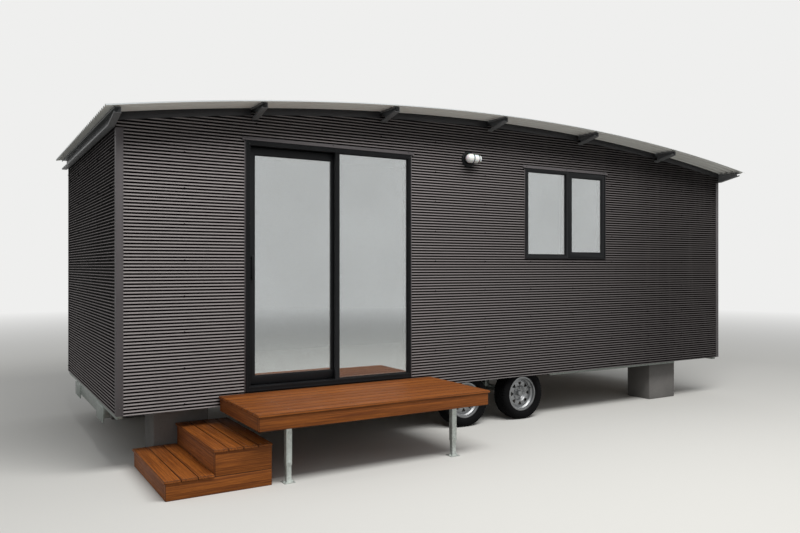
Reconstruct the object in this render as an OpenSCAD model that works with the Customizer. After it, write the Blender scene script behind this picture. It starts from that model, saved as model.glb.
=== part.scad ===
// Tiny house on a tandem trailer, with an arched corrugated roof, a two panel sliding door,
// a timber landing and steps. Millimetres, +Z up, the front (door) side faces -Y.
// The origin is on the ground at the middle of the plan.

/* [House body] */
// Length over the cladding crests
house_l = 7200; // [6600:10:9000]
// Depth over the cladding crests
house_d = 2880; // [2600:10:3400]
// Height of the cladding's lower edge above the ground
clad_z0 = 460; // [440:1:520]
// Height of the finished floor above the ground
floor_z = 556; // [550:1:640]
// Thickness of the floor deck
floor_t = 26; // [16:1:40]
// Thickness of a framed and lined wall behind its cladding
wall_t = 90; // [70:1:140]

/* [Wall cladding] */
// Pitch of the cladding's small corrugations
clad_pitch = 26; // [20:1:40]
// Depth of the cladding's corrugations
clad_wave = 6; // [4:0.5:10]
// Thickness of the cladding sheet
clad_t = 1; // [0.6:0.1:2]
// Leg of the corner trims
corner_leg = 52; // [40:1:80]
// Thickness of the folded trims and flashings
trim_t = 1.5; // [1:0.1:3]
// Height of the dark capping under the roof sheet
cap_h = 60; // [45:1:90]

/* [Roof] */
// Height of the roof sheet's top above the door's head, at mid length
roof_top = 423; // [370:1:600]
// Rise of the arch from the sheet's ends to its middle
roof_rise = 310; // [150:1:420]
// Overhang of the sheet past each end wall
roof_end = 120; // [80:1:250]
// Eave past the front wall
eave_front = 295; // [150:1:450]
// Overhang past the back wall
eave_back = 50; // [20:1:300]
// Pitch of the roof sheet's corrugations
roof_pitch = 76.2; // [60:0.1:90]
// Depth of the roof sheet's corrugations
roof_wave = 16; // [12:1:25]
// Thickness of the roof sheet
roof_t = 1.2; // [0.8:0.1:3]

/* [Purlins] */
// Depth of the purlins
purlin_d = 100; // [75:1:150]
// Width of the purlins
purlin_w = 50; // [40:1:75]
// Thickness of the purlins' steel
purlin_t = 3; // [1.5:0.5:5]
// Lip of the purlins' open side
purlin_lip = 15; // [10:1:25]
// Depth left at the tip of a raked tail
tail_d = 45; // [30:1:75]
// Distance of the tail's tip behind the sheet's front edge
tail_back = 40; // [20:1:80]
// Number of purlins over the room
inner_n = 5; // [3:1:7]
// Spacing of the purlins over the room
inner_pitch = 1240; // [700:10:1300]
// Shift of the purlins over the room towards the left end
inner_shift = 35; // [0:1:60]
// Gap between an end purlin and the cladding's crests
end_gap = 8; // [2:1:20]
// Thickness of the ceiling lining
ceiling_t = 10; // [8:1:20]

/* [Sliding door] */
// Distance of the door frame from the left corner
door_x = 1016; // [600:1:1400]
// Width of the door frame
door_w = 1610; // [1400:1:1900]
// Height of the door frame
door_h = 2100; // [1950:1:2110]
// Face width of the door frame's jambs
jamb_w = 40; // [30:1:60]
// Face width of the jamb beside the fixed pane
fixed_jamb_w = 28; // [24:1:60]
// Face height of the door frame's head
head_h = 45; // [35:1:60]
// Face height of the sill
sill_h = 45; // [35:1:60]
// Width of the fixed stile where the panels meet
mullion_w = 38; // [36:1:55]
// Overlap of the sliding sash past the frame's middle
meet_x = 60; // [45:1:70]
// How far the frames stand proud of the cladding's crests
frame_proud = 10; // [4:1:20]
// Face width of the sash's stiles
stile_w = 52; // [45:1:75]
// Face height of the sash's top rail
sash_top_h = 64; // [50:1:90]
// Face height of the sash's bottom rail
sash_bottom_h = 70; // [55:1:110]
// Thickness of the sash
sash_t = 35; // [30:1:38]
// Width of the frames' outer lip
face_lip = 12; // [6:1:20]
// Depth of the frames' face behind their lip
face_step = 3; // [1:0.5:5]
// Width of the step round a pane
bead_w = 6; // [3:1:12]
// Depth of the step round a pane
bead_d = 5; // [2:1:8]
// Width of the bead in front of the fixed pane
fixed_bead = 6; // [4:1:16]
// Width of the trims beside the door and the window
jamb_trim = 10; // [6:1:40]
// Height of the pull on the sash
pull_h = 200; // [120:1:260]
// Height of the pull's middle above the floor
pull_z = 1035; // [900:1:1150]
// Width of the pull
pull_w = 18; // [12:1:24]
// How far the pull stands out from the sash
pull_out = 30; // [20:1:38]

/* [Head flashings] */
// How far a head flashing runs past its frame
flash_over = 30; // [15:1:50]
// How far a head flashing stands out from the crests
flash_out = 14; // [12:1:25]
// Upstand of a head flashing on the cladding
flash_up = 24; // [15:1:40]
// Height of the head flashing's fold above the frame
flash_fold = 8; // [6:1:14]
// Fall of the head flashing
flash_fall = 4; // [2:1:5]
// Turned down edge of a head flashing
flash_drip = 6; // [4:1:14]

/* [Window] */
// Distance of the window frame from the left corner
win_x = 4028; // [3500:1:4600]
// Width of the window frame
win_w = 1164; // [900:1:1400]
// Height of the window frame
win_h = 948; // [700:1:1000]
// Height of the window frame's lower edge above the floor
win_sill = 1128; // [1000:1:1150]
// Face width of the window frame
win_face = 38; // [35:1:60]
// Width of the window's mullion
win_mullion = 31; // [28:1:60]
// Distance of the mullion's middle from the window's left edge
win_split = 585; // [450:1:640]
// Visible edge of the frame around the opening sash
win_lip = 11; // [8:1:16]
// Face width of the opening sash
win_sash_w = 58; // [45:1:70]
// Gap round the opening sash
win_play = 2; // [1:0.5:4]
// Depth of the opening sash's face behind the frame's
win_back = 3; // [1:1:6]
// Depth of the fixed pane behind the frame's face
win_pane = 20; // [16:1:24]
// Depth of the opening pane behind the frame's face
win_leaf_pane = 14; // [10:1:18]
// Width of the stop that the opening sash closes on
win_stop = 25; // [12:1:40]

/* [Glass] */
// Thickness of the double glazed panes
glass_t = 14; // [10:1:18]

/* [Lamp] */
// Distance of the lamp from the left corner
lamp_x = 3295; // [2900:1:3700]
// Height of the lamp's middle above the door's head
lamp_up = 3; // [-200:1:60]
// Diameter of the lamp's base
lamp_base_d = 156; // [110:1:180]
// Thickness of the lamp's base
lamp_base_t = 12; // [8:1:20]
// Length of the lamp's body
lamp_l = 165; // [140:1:230]
// Diameter of the lamp's jar
lamp_d = 90; // [60:1:110]
// Diameter of the lamp's neck
lamp_neck_d = 56; // [40:1:64]
// Length of the neck between the base and the jar
lamp_neck = 14; // [8:1:30]
// Shift of the lamp's body towards the left end
lamp_shift = -10; // [-30:1:30]

/* [Landing and steps] */
// Distance of the landing's left end from the left corner
land_x = 788; // [500:1:1000]
// Length of the landing
land_l = 2060; // [1700:10:2400]
// Depth of the landing
land_d = 925; // [800:5:1200]
// Height of the landing's top above the ground
land_z = 547; // [500:1:550]
// Thickness of the decking boards
board_t = 19; // [16:1:28]
// Height of the landing's frame under its boards
land_frame_h = 103; // [80:1:140]
// Thickness of the landing's and steps' boards on edge
side_t = 30; // [20:1:45]
// Gap between boards
board_gap = 4; // [3:1:8]
// Number of boards in the lower tread
step_n1 = 3; // [2:1:4]
// Number of boards in the upper tread
step_n2 = 4; // [3:1:5]
// Number of boards across the landing
land_n = 8; // [6:1:11]
// Gap between the landing's last board and the cladding
deck_gap = 3; // [2:1:10]
// Number of joists in the landing
joist_n = 4; // [3:1:6]
// Overhang of the boards past their frame
board_over = 12; // [5:1:25]
// Distance of the steps' front edge from the left corner
step_x = 170; // [100:1:300]
// Going of the steps' lower tread
step_go = 341; // [280:1:400]
// Length of the steps' upper tread, part of which is under the landing
step_top_l = 435; // [350:1:500]
// Distance of the steps' near side in front of the cladding
step_front = 796; // [700:1:900]
// Width of the steps
step_w = 1070; // [800:5:1085]
// Height of the lower tread
step_z1 = 140; // [120:1:180]
// Height of the upper tread
step_z2 = 310; // [270:1:360]
// Size of the landing legs' outer tube
leg_a = 45; // [38:1:60]
// Size of the landing legs' inner tube
leg_b = 38; // [30:1:44]
// Height of the outer tube's lower end
leg_split = 130; // [90:1:220]
// Distance of the legs from the landing's ends
leg_end = 285; // [150:1:400]
// Distance of the legs from the landing's front
leg_front = 145; // [100:1:250]
// Size of the legs' foot plates
foot_a = 86; // [84:1:140]
// Thickness of the foot plates
foot_t = 6; // [4:1:10]
// Diameter of the bolts in the legs
leg_bolt = 10; // [8:1:12]
// Height of the cross bolt above the outer tube's lower end
leg_bolt_z = 20; // [15:1:40]

/* [Trailer] */
// Distance from the house's left corner to the middle between the axles
axle_x = 3690; // [3300:1:4200]
// Spacing of the axles
axle_pitch = 730; // [680:1:850]
// Outer diameter of the tyres
tyre_d = 525; // [500:1:529]
// Width of the tyres
tyre_w = 195; // [165:1:205]
// Distance of the tyres behind the cladding's crests
tyre_in = 50; // [44:1:80]
// Diameter of the rims' flanges
rim_d = 356; // [340:1:370]
// Width of the rims between their flanges
rim_w = 132; // [120:1:150]
// Thickness of the rims' steel
rim_t = 4; // [3:0.5:8]
// Number of holes in a rim
hole_n = 8; // [5:1:10]
// Radius of the circle that the rims' holes lie on
hole_circle = 104; // [98:1:112]
// Size of a rim's hole
hole_size = 34; // [14:1:36]
// Height of the rims' bead seats below the flanges
bead_h = 13; // [10:1:16]
// Depth of the rims' well below the bead seats
well_h = 15; // [10:1:20]
// How far the disc bulges out at the holes
disc_out = 30; // [15:1:36]
// Diameter of a rim's hub bore
hub_bore = 45.6; // [40:0.1:60]
// Diameter of the hub
hub_d = 68; // [64:1:76]
// Length of the hub behind the disc
hub_l = 60; // [45:1:70]
// Height of the hub's cap
cap_l = 42; // [34:1:55]
// Number of wheel nuts
nut_n = 5; // [4:1:6]
// Radius of the circle of wheel nuts
nut_circle = 57; // [54:1:64]
// Width of a wheel nut across its corners
nut_d = 21; // [17:1:24]
// Width of a tyre's tread
tread_w = 128; // [110:1:140]
// Width of a tread groove
groove_w = 7; // [4:1:10]
// Depth of a tread groove
groove_d = 7; // [4:1:9]
// Distance between the tread grooves
groove_pitch = 36; // [28:1:42]
// Size of the axle beams
axle_a = 50; // [40:1:60]
// Depth of the chassis rails
rail_d = 100; // [80:1:110]
// Width of the chassis rails
rail_w = 50; // [40:1:60]
// Distance of the main rails behind the cladding
main_in = 275; // [260:1:330]
// Distance of the outer rails behind the cladding
outer_in = 53; // [48:1:80]
// Distance of the outer rails' right end from the left corner
outer_x1 = 6430; // [6000:1:6500]
// Gap between the rear tyre and the outer rail's left end
outer_gap = 100; // [30:1:150]
// Number of crossmembers
cross_n = 9; // [7:1:12]
// Depth of the crossmembers
cross_d = 75; // [60:1:79]
// Depth of the drawbar beam under the left end
drawbar_h = 90; // [60:1:120]
// Distance of the drawbar beam's ends behind the cladding
drawbar_in = 600; // [400:10:800]
// Length of the drawbar's bolting plates
plate_l = 340; // [200:10:400]
// Depth of the plates under the drawbar beam
plate_drop = 40; // [20:1:80]
// Thickness of the plates
plate_t = 8; // [5:1:12]
// Width of a leaf spring
leaf_w = 45; // [40:1:60]
// Thickness of a leaf spring's pack
leaf_t = 24; // [16:1:30]
// Number of leaves in a spring
leaf_n = 4; // [3:1:5]
// Diameter of a spring's eyes
eye_d = 30; // [26:1:36]
// Diameter of the bolt through an eye
eye_bolt = 16; // [12:1:18]
// Thickness of the hangers and the clamping plates
hanger_t = 6; // [4:1:8]
// Width of a hanger
hanger_w = 50; // [40:1:60]
// Diameter of the U bolts
u_bolt = 10; // [8:1:12]
// Rise of a leaf spring from its seat to its eyes
leaf_rise = 40; // [20:1:60]

/* [Piers] */
// Width of a pier
pier_a = 450; // [380:1:500]
// Depth of a pier
pier_b = 340; // [300:1:450]
// Distance of the left piers behind the cladding
pier_in0 = 300; // [280:1:350]
// Distance of the right piers behind the cladding
pier_in1 = 150; // [110:1:250]
// Distance of the left piers from the left corner
pier_x0 = 341; // [250:1:500]
// Distance of the right piers from the left corner
pier_x1 = 6100; // [5400:1:6200]

/* [Hidden] */
// Plan: the landing's front edge and the roof's back edge are equally far from the origin
front_y = (land_d - house_d - eave_back) / 2;
back_y = front_y + house_d;
left_x = -house_l / 2;
right_x = house_l / 2;
mid_y = (front_y + back_y) / 2;
// Walls: the slabs start behind the corrugated skin
skin = clad_wave + clad_t;
slab_y0 = front_y + skin;
slab_y1 = back_y - skin;
slab_x0 = left_x + skin;
slab_x1 = right_x - skin;
room_y0 = slab_y0 + wall_t;
room_y1 = slab_y1 - wall_t;
room_x0 = slab_x0 + wall_t;
room_x1 = slab_x1 - wall_t;
// Roof: the sheet's top lies on an arc about an axis along Y
sheet_half = house_l / 2 + roof_end;
roof_r = (sheet_half * sheet_half + roof_rise * roof_rise) / (2 * roof_rise);
door_z1 = floor_z + door_h;
ridge_z = door_z1 + roof_top;
arc_z = ridge_z - roof_r;
// What carries the sheet lies this far below it
seat_gap = 0.3;
under_r = roof_r - roof_wave - roof_t - seat_gap;
seat_r = under_r - purlin_d;
sheet_y0 = front_y - eave_front;
sheet_y1 = back_y + eave_back;
end_purlin_x = house_l / 2 + end_gap + purlin_w / 2;
end_reach = end_purlin_x + purlin_w / 2;
end_seat_z = arc_z + sqrt(under_r * under_r - end_reach * end_reach);
above_roof = ridge_z + 100;
arc_n = 18;
// Laps and drops of the sheet edges that the capping and the end purlins hide
cap_lap = 20;
// Straight stretches in a wave of the sheets
clad_steps = 4;
roof_steps = 8;
end_drop = 4;
trim_drop = 5;
purlin_end = 10;
notch_gap = 4;
// Door: the sash runs behind the fixed stile
opening_x0 = left_x + door_x;
opening_x1 = opening_x0 + door_w;
frame_y0 = front_y - frame_proud;
frame_y1 = room_y0;
run_gap = 8;
sash_x0 = opening_x0 + jamb_w + run_gap;
sash_x1 = opening_x0 + door_w / 2 + meet_x;
sash_z0 = floor_z + sill_h + run_gap;
sash_z1 = door_z1 - head_h - run_gap;
fixed_set = 5;
fixed_y = front_y + fixed_set;
fixed_t = 38;
pass_gap = 10;
sash_y = fixed_y + fixed_t + pass_gap;
mullion_x0 = sash_x1 - mullion_w;
track_w = 6;
track_h = 3;
roller_d = 24;
roller_w = 5;
roller_in = 80;
// Window
window_x0 = left_x + win_x;
window_x1 = window_x0 + win_w;
window_z0 = floor_z + win_sill;
window_z1 = window_z0 + win_h;
light_x1 = window_x0 + win_split - win_mullion / 2;
leaf_x0 = light_x1 + win_mullion;
leaf_depth = 38;
lamp_z = door_z1 + lamp_up;
// Steps, landing and ground clearances
land_y0 = front_y - land_d;
step_y0 = front_y - step_front;
// Trailer
rail_z0 = floor_z - floor_t - rail_d;
cross_in = 110;
deck_z0 = floor_z - floor_t;
rim_board = 36;
wheel_r = tyre_d / 2;
wheel_y = tyre_in + tyre_w / 2;
bead_r = rim_d / 2 - bead_h;
well_r = bead_r - well_h;
spindle_d = hub_bore - 2 * seat_gap;
// The spindle ends inside the hub's cap
spindle_out = 20;
cap_hollow = 24;
spindle_in = 8;
leaf_gap = 35;
pin_play = 1;
leaf_half = axle_pitch / 2 - leaf_gap;
leaf_r = (leaf_half * leaf_half + leaf_rise * leaf_rise) / (2 * leaf_rise);
spring_y = main_in + rail_w / 2;
eps = 1;
$fn = 96;

// A box from one corner to the other
module block(a, b) {
    translate(a) cube([b[0] - a[0], b[1] - a[1], b[2] - a[2]]);
}

// A round bar along Y, about the roof's or a leaf's own axis
module drum(r, y0, y1, sides = 96) {
    translate([0, y1, 0]) rotate([90, 0, 0]) cylinder(r = r, h = y1 - y0, $fn = sides);
}

// Everything below an arc that is concentric with the roof, in short straight stretches
module under_arc(r, y0, y1) {
    half = asin(sheet_half / r);
    translate([0, y1, 0]) rotate([90, 0, 0]) linear_extrude(y1 - y0)
        polygon(concat([[sheet_half, 0], [-sheet_half, 0]],
                       [for (i = [-arc_n : arc_n])
                           [r * sin(half * i / arc_n), arc_z + r * cos(half * i / arc_n)]]));
}

// Puts children on the arc at a plan distance from the middle, square to it
module on_arc(x) {
    translate([0, 0, arc_z]) rotate([0, asin(x / roof_r), 0]) translate([0, 0, under_r]) children();
}

function inner_x(i) = (i - (inner_n - 1) / 2) * inner_pitch - inner_shift;

// The notches that the purlins over the room take in the walls
module purlin_notches(gap) {
    for (i = [0 : inner_n - 1])
        on_arc(inner_x(i))
            block([-purlin_w / 2 - gap, sheet_y0, -purlin_d],
                  [purlin_w / 2 + gap, sheet_y1, purlin_d]);
}

// Corrugated sheet in profile: x runs across the waves, y is the depth of the front face
function wave_points(length, pitch, depth, steps) = [
    for (i = [0 : floor(length / pitch * steps)])
        [i * pitch / steps, depth / 2 * (1 - cos((i + 0.5) * 360 / steps) / cos(180 / steps))]
];
module sheet_profile(length, pitch, depth, t, steps) {
    front = concat(wave_points(length, pitch, depth, steps),
                   [[length, depth / 2]]);
    back = [for (i = [len(front) - 1 : -1 : 0]) [front[i][0], front[i][1] + t]];
    polygon(concat(front, back));
}

// A sheet of wall cladding standing in the XZ plane, its crests at y = 0, its waves level
module cladding_sheet(length, height) {
    rotate([90, 0, 90])
        linear_extrude(length)
            mirror([1, -1, 0]) sheet_profile(height, clad_pitch, clad_wave, clad_t, clad_steps);
}

// Trailer chassis
module chassis_rails() {
    color("darkgray")
    for (side = [0, 1]) {
        mirror_back(side)
            block([slab_x0 + rail_w, front_y + main_in, rail_z0],
                  [slab_x1 - rail_w, front_y + main_in + rail_w, deck_z0]);
        mirror_back(side)
            block([left_x + axle_x + axle_pitch / 2 + wheel_r + outer_gap, front_y + outer_in, rail_z0],
                  [left_x + outer_x1, front_y + outer_in + rail_w, deck_z0]);
    }
}

// Draws children on the front side, or mirrored on the back side
module mirror_back(side) {
    translate([0, side == 1 ? 2 * mid_y : 0, 0]) mirror([0, side, 0]) children();
}

function cross_x(i) = left_x + cross_in + i * (house_l - 2 * cross_in) / (cross_n - 1);

module chassis_crossmembers() {
    in_y0 = front_y + main_in + rail_w;
    in_y1 = back_y - main_in - rail_w;
    color("darkgray") {
        for (i = [1 : cross_n - 2])
            block([cross_x(i) - rail_w / 2, in_y0, deck_z0 - cross_d],
                  [cross_x(i) + rail_w / 2, in_y1, deck_z0]);
        for (x = [slab_x0, slab_x1 - rail_w])
            block([x, slab_y0 + rim_board, rail_z0], [x + rail_w, slab_y1 - rim_board, deck_z0]);
        block([slab_x0, front_y + drawbar_in, rail_z0 - drawbar_h],
              [slab_x0 + rail_w, back_y - drawbar_in, rail_z0]);
        for (side = [0, 1])
            mirror_back(side)
                block([slab_x0 - plate_t, front_y + drawbar_in, rail_z0 - drawbar_h - plate_drop],
                      [slab_x0, front_y + drawbar_in + plate_l, rail_z0]);
    }
}

module axles() {
    color("dimgray")
    for (i = [-1, 1])
        translate([left_x + axle_x + i * axle_pitch / 2, 0, wheel_r]) {
            block([-axle_a / 2, front_y + wheel_y + tyre_w / 2 + spindle_in, -axle_a / 2],
                  [axle_a / 2, back_y - wheel_y - tyre_w / 2 - spindle_in, axle_a / 2]);
            drum(spindle_d / 2, front_y + wheel_y - spindle_out, back_y - wheel_y + spindle_out);
        }
}

// One leaf, counted from the axle up: the higher it lies, the longer it is
module leaf(k) {
    t = leaf_t / leaf_n;
    r = leaf_r - k * t;
    half = leaf_half * (k + 2) / (leaf_n + 1);
    intersection() {
        translate([0, 0, leaf_r])
            difference() {
                drum(r, -leaf_w / 2, leaf_w / 2, 720);
                drum(r - t, -leaf_w / 2 - eps, leaf_w / 2 + eps, 720);
            }
        block([-half, -leaf_w, -eps], [half, leaf_w, 3 * leaf_rise]);
    }
}
// An eye with its bolt between the plates of a hanger, whose top meets the rail
module hanger(top_z) {
    plate_y = leaf_w / 2 + pin_play;
    drum(eye_d / 2, -leaf_w / 2, leaf_w / 2);
    drum(eye_bolt / 2, -plate_y - 2 * hanger_t, plate_y + 2 * hanger_t);
    for (side = [0, 1])
        mirror([0, side, 0])
            block([-hanger_w / 2, plate_y, -eye_d / 2], [hanger_w / 2, plate_y + hanger_t, top_z]);
    block([-hanger_w / 2, -plate_y - hanger_t, top_z - hanger_t],
          [hanger_w / 2, plate_y + hanger_t, top_z]);
}
// The U bolts that clamp the leaves to the axle, between two plates
module spring_clamp() {
    x = axle_a / 2 + u_bolt / 2 + pin_play;
    y = leaf_w / 2 + u_bolt / 2 + pin_play;
    for (z = [-axle_a - hanger_t, leaf_t])
        block([-x - u_bolt, -y - u_bolt, z], [x + u_bolt, y + u_bolt, z + hanger_t]);
    for (sx = [-1, 1], sy = [-1, 1])
        translate([sx * x, sy * y, -axle_a - 2 * hanger_t - u_bolt / 2])
            cylinder(d = u_bolt, h = axle_a + leaf_t + 4 * hanger_t + u_bolt, $fn = 24);
}
module leaf_springs() {
    seat_z = wheel_r + axle_a / 2;
    top_r = leaf_r - leaf_t;
    eye_x = leaf_half - eye_d / 2;
    eye_z = leaf_r - sqrt(top_r * top_r - eye_x * eye_x) + eye_d / 2 - leaf_t / leaf_n;
    color("gray")
    for (side = [0, 1], i = [-1, 1])
        mirror_back(side)
            translate([left_x + axle_x + i * axle_pitch / 2, front_y + spring_y, seat_z]) {
                for (k = [0 : leaf_n - 1]) leaf(k);
                for (e = [-1, 1])
                    translate([e * eye_x, 0, eye_z]) hanger(rail_z0 - seat_z - eye_z);
                spring_clamp();
            }
}

module piers() {
    color("silver")
    for (side = [0, 1], p = [[pier_x0, pier_in0], [pier_x1, pier_in1]])
        mirror_back(side)
            block([left_x + p[0], front_y + p[1], 0],
                  [left_x + p[0] + pier_a, front_y + p[1] + pier_b, rail_z0]);
}

// Floor
module floor_deck() {
    block([slab_x0, slab_y0, deck_z0], [slab_x1, slab_y1, floor_z]);
}
module floor() {
    color("tan") floor_deck();
}
module floor_rim() {
    color("tan") {
        for (side = [0, 1])
            mirror_back(side)
                block([slab_x0, slab_y0, clad_z0], [slab_x1, slab_y0 + rim_board, deck_z0]);
    }
}

// Walls
module wall_block(x0, x1, y0, y1, z0) {
    difference() {
        intersection() {
            block([x0, y0, z0], [x1, y1, above_roof]);
            under_arc(under_r, y0 - eps, y1 + eps);
        }
        purlin_notches(eps);
    }
}
module front_wall_left() {
    color("dimgray") wall_block(slab_x0, opening_x0, slab_y0, room_y0, floor_z);
}
module front_wall_over_door() {
    color("dimgray") wall_block(opening_x0, opening_x1, slab_y0, room_y0, door_z1);
}
module front_wall_right() {
    color("dimgray")
    difference() {
        wall_block(opening_x1, slab_x1, slab_y0, room_y0, floor_z);
        block([window_x0, slab_y0 - eps, window_z0], [window_x1, room_y0 + eps, window_z1]);
    }
}
module back_wall() {
    color("dimgray") wall_block(slab_x0, slab_x1, room_y1, slab_y1, floor_z);
}
module left_end_wall() {
    color("dimgray")
    intersection() {
        block([slab_x0, room_y0, floor_z], [room_x0, room_y1, above_roof]);
        under_arc(under_r, front_y, back_y);
    }
}
module right_end_wall() {
    color("dimgray")
    intersection() {
        block([room_x1, room_y0, floor_z], [slab_x1, room_y1, above_roof]);
        under_arc(under_r, front_y, back_y);
    }
}

// Cladding
module long_cladding() {
    intersection() {
        translate([left_x, 0, clad_z0]) cladding_sheet(house_l, above_roof - clad_z0);
        under_arc(under_r - cap_h + cap_lap, -eps, skin + eps);
    }
}
module front_cladding() {
    color([0.23, 0.22, 0.22])
    difference() {
        translate([0, front_y, 0]) long_cladding();
        purlin_notches(notch_gap);
        block([opening_x0, front_y - eps, floor_z], [opening_x1, slab_y0 + eps, door_z1]);
        block([window_x0, front_y - eps, window_z0], [window_x1, slab_y0 + eps, window_z1]);
    }
}
module back_cladding() {
    color([0.23, 0.22, 0.22])
    difference() {
        translate([0, back_y, 0]) mirror([0, 1, 0]) long_cladding();
        purlin_notches(notch_gap);
    }
}
module end_cladding() {
    top = arc_z + sqrt(under_r * under_r - house_l * house_l / 4) - end_drop;
    color([0.23, 0.22, 0.22])
    for (side = [0, 1])
        mirror([side, 0, 0])
            translate([left_x, slab_y1, clad_z0])
                rotate([0, 0, -90]) cladding_sheet(slab_y1 - slab_y0, top - clad_z0);
}
module cladding_trims() {
    top = end_seat_z - purlin_d - trim_drop;
    color([0.25, 0.24, 0.24])
    for (side = [0, 1], end = [0, 1])
        mirror_back(side) mirror([end, 0, 0]) {
            block([left_x - trim_t, front_y - trim_t, clad_z0], [left_x + corner_leg, front_y, top]);
            block([left_x - trim_t, front_y - trim_t, clad_z0], [left_x, front_y + corner_leg, top]);
        }
}

// Roof
module roof_sheet() {
    half = asin(sheet_half / roof_r);
    color("gainsboro")
    translate([0, 0, arc_z])
        rotate([90, 0, 0])
            translate([0, 0, -sheet_y1])
                rotate([0, 0, 90 - half])
                    rotate_extrude(angle = 2 * half, $fn = 1080)
                        rotate([0, 0, 90])
                            translate([0, -roof_r, 0])
                                sheet_profile(sheet_y1 - sheet_y0, roof_pitch, roof_wave, roof_t, roof_steps);
}

// Purlin side view: x runs from the tip to the back, y is up, the top is at 0
module purlin_strip(lower, t) {
    tip = sheet_y0 + tail_back;
    end = sheet_y1 - purlin_end;
    if (lower)
        polygon([[tip, -tail_d], [front_y, -purlin_d], [end, -purlin_d],
                 [end, t - purlin_d], [front_y, t - purlin_d], [tip, t - tail_d]]);
    else
        polygon([[tip, -t], [end, -t], [end, 0], [tip, 0]]);
}
module purlin_web() {
    tip = sheet_y0 + tail_back;
    end = sheet_y1 - purlin_end;
    polygon([[tip, -tail_d], [front_y, -purlin_d], [end, -purlin_d], [end, 0], [tip, 0]]);
}
module across(x0, x1) {
    translate([x0, 0, 0]) rotate([90, 0, 90]) linear_extrude(x1 - x0) children();
}
module purlin() {
    across(purlin_w / 2 - purlin_t, purlin_w / 2) purlin_web();
    for (lower = [false, true]) {
        across(-purlin_w / 2, purlin_w / 2) purlin_strip(lower, purlin_t);
        across(-purlin_w / 2, purlin_t - purlin_w / 2) purlin_strip(lower, purlin_lip);
    }
}
module roof_purlins() {
    color([0.15, 0.15, 0.16]) {
        for (i = [0 : inner_n - 1]) on_arc(inner_x(i)) purlin();
        for (end = [0, 1])
            mirror([end, 0, 0]) translate([-end_purlin_x, 0, end_seat_z]) purlin();
    }
}
module eave_capping() {
    color([0.1, 0.1, 0.1])
    for (side = [0, 1])
        difference() {
            mirror_back(side)
            difference() {
                intersection() {
                    block([left_x, front_y - trim_t, floor_z], [right_x, front_y, above_roof]);
                    under_arc(under_r, front_y - 2 * trim_t, front_y + eps);
                }
                under_arc(under_r - cap_h, front_y - 3 * trim_t, front_y + 2 * eps);
            }
            purlin_notches(notch_gap);
        }
}
module ceiling() {
    color("white")
    intersection() {
        block([room_x0, room_y0, floor_z], [room_x1, room_y1, above_roof]);
        difference() {
            under_arc(seat_r, room_y0 - eps, room_y1 + eps);
            under_arc(seat_r - ceiling_t, room_y0 - 2 * eps, room_y1 + 2 * eps);
        }
    }
}

// Sliding door
// A frame's section in plan and height: a block with a hole, and a face that steps back inside its lip
module stepped_frame(x0, x1, z0, z1, hx0, hx1, hz0, hz1) {
    difference() {
        block([x0, frame_y0, z0], [x1, frame_y1, z1]);
        block([hx0, frame_y0 - eps, hz0], [hx1, frame_y1 + eps, hz1]);
        block([x0 + face_lip, frame_y0 - eps, z0 + face_lip],
              [x1 - face_lip, frame_y0 + face_step, z1 - face_lip]);
    }
}
module door_frame() {
    x0 = opening_x0 + jamb_w;
    x1 = opening_x1 - fixed_jamb_w;
    z0 = floor_z + sill_h;
    z1 = door_z1 - head_h;
    glass_y = fixed_y + (fixed_t - glass_t) / 2;
    color([0.08, 0.08, 0.09]) {
        stepped_frame(opening_x0, opening_x1, floor_z, door_z1, x0, x1, z0, z1);
        block([mullion_x0, fixed_y, z0 - eps], [sash_x1, fixed_y + fixed_t, z1 + eps]);
        difference() {
            block([sash_x1 - eps, glass_y - bead_d, z0 - eps], [x1 + eps, glass_y, z1 + eps]);
            block([sash_x1 + fixed_bead, glass_y - bead_d - eps, z0 + fixed_bead],
                  [x1 - fixed_bead, glass_y + eps, z1 - fixed_bead]);
        }
        block([x0 - eps, sash_y + sash_t / 2 - track_w / 2, z0 - eps],
              [x1 + eps, sash_y + sash_t / 2 + track_w / 2, z0 + track_h]);
    }
}
module door_fixed_glass() {
    y = fixed_y + (fixed_t - glass_t) / 2;
    color([0.7, 0.8, 0.85, 0.5])
        block([sash_x1, y, floor_z + sill_h], [opening_x1 - fixed_jamb_w, y + glass_t, door_z1 - head_h]);
}
module sash_frame() {
    roller_z = floor_z + sill_h + track_h + seat_gap + roller_d / 2;
    x0 = sash_x0 + stile_w;
    x1 = sash_x1 - stile_w;
    z0 = sash_z0 + sash_bottom_h;
    z1 = sash_z1 - sash_top_h;
    color([0.08, 0.08, 0.09]) {
        difference() {
            block([sash_x0, sash_y, sash_z0], [sash_x1, sash_y + sash_t, sash_z1]);
            block([x0, sash_y - eps, z0], [x1, sash_y + sash_t + eps, z1]);
            block([x0 - bead_w, sash_y - eps, z0 - bead_w], [x1 + bead_w, sash_y + bead_d, z1 + bead_w]);
        }
        for (x = [sash_x0 + roller_in, sash_x1 - roller_in])
            translate([x, sash_y + sash_t / 2, roller_z]) drum(roller_d / 2, -roller_w / 2, roller_w / 2);
    }
}
module sash_glass() {
    y = sash_y + (sash_t - glass_t) / 2;
    color([0.7, 0.8, 0.85, 0.5])
        block([sash_x0 + stile_w, y, sash_z0 + sash_bottom_h],
              [sash_x1 - stile_w, y + glass_t, sash_z1 - sash_top_h]);
}
// A bar on two posts
module sash_handle() {
    x = sash_x0 + (stile_w - bead_w) / 2;
    z = floor_z + pull_z;
    color("black") {
        block([x - pull_w / 2, sash_y - pull_out, z - pull_h / 2],
              [x + pull_w / 2, sash_y - pull_out + pull_w / 2, z + pull_h / 2]);
        for (end = [-1, 1])
            translate([0, 0, z + end * (pull_h / 2 - pull_w)])
                block([x - pull_w / 2, sash_y - pull_out, -pull_w / 2], [x + pull_w / 2, sash_y, pull_w / 2]);
    }
}
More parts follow.
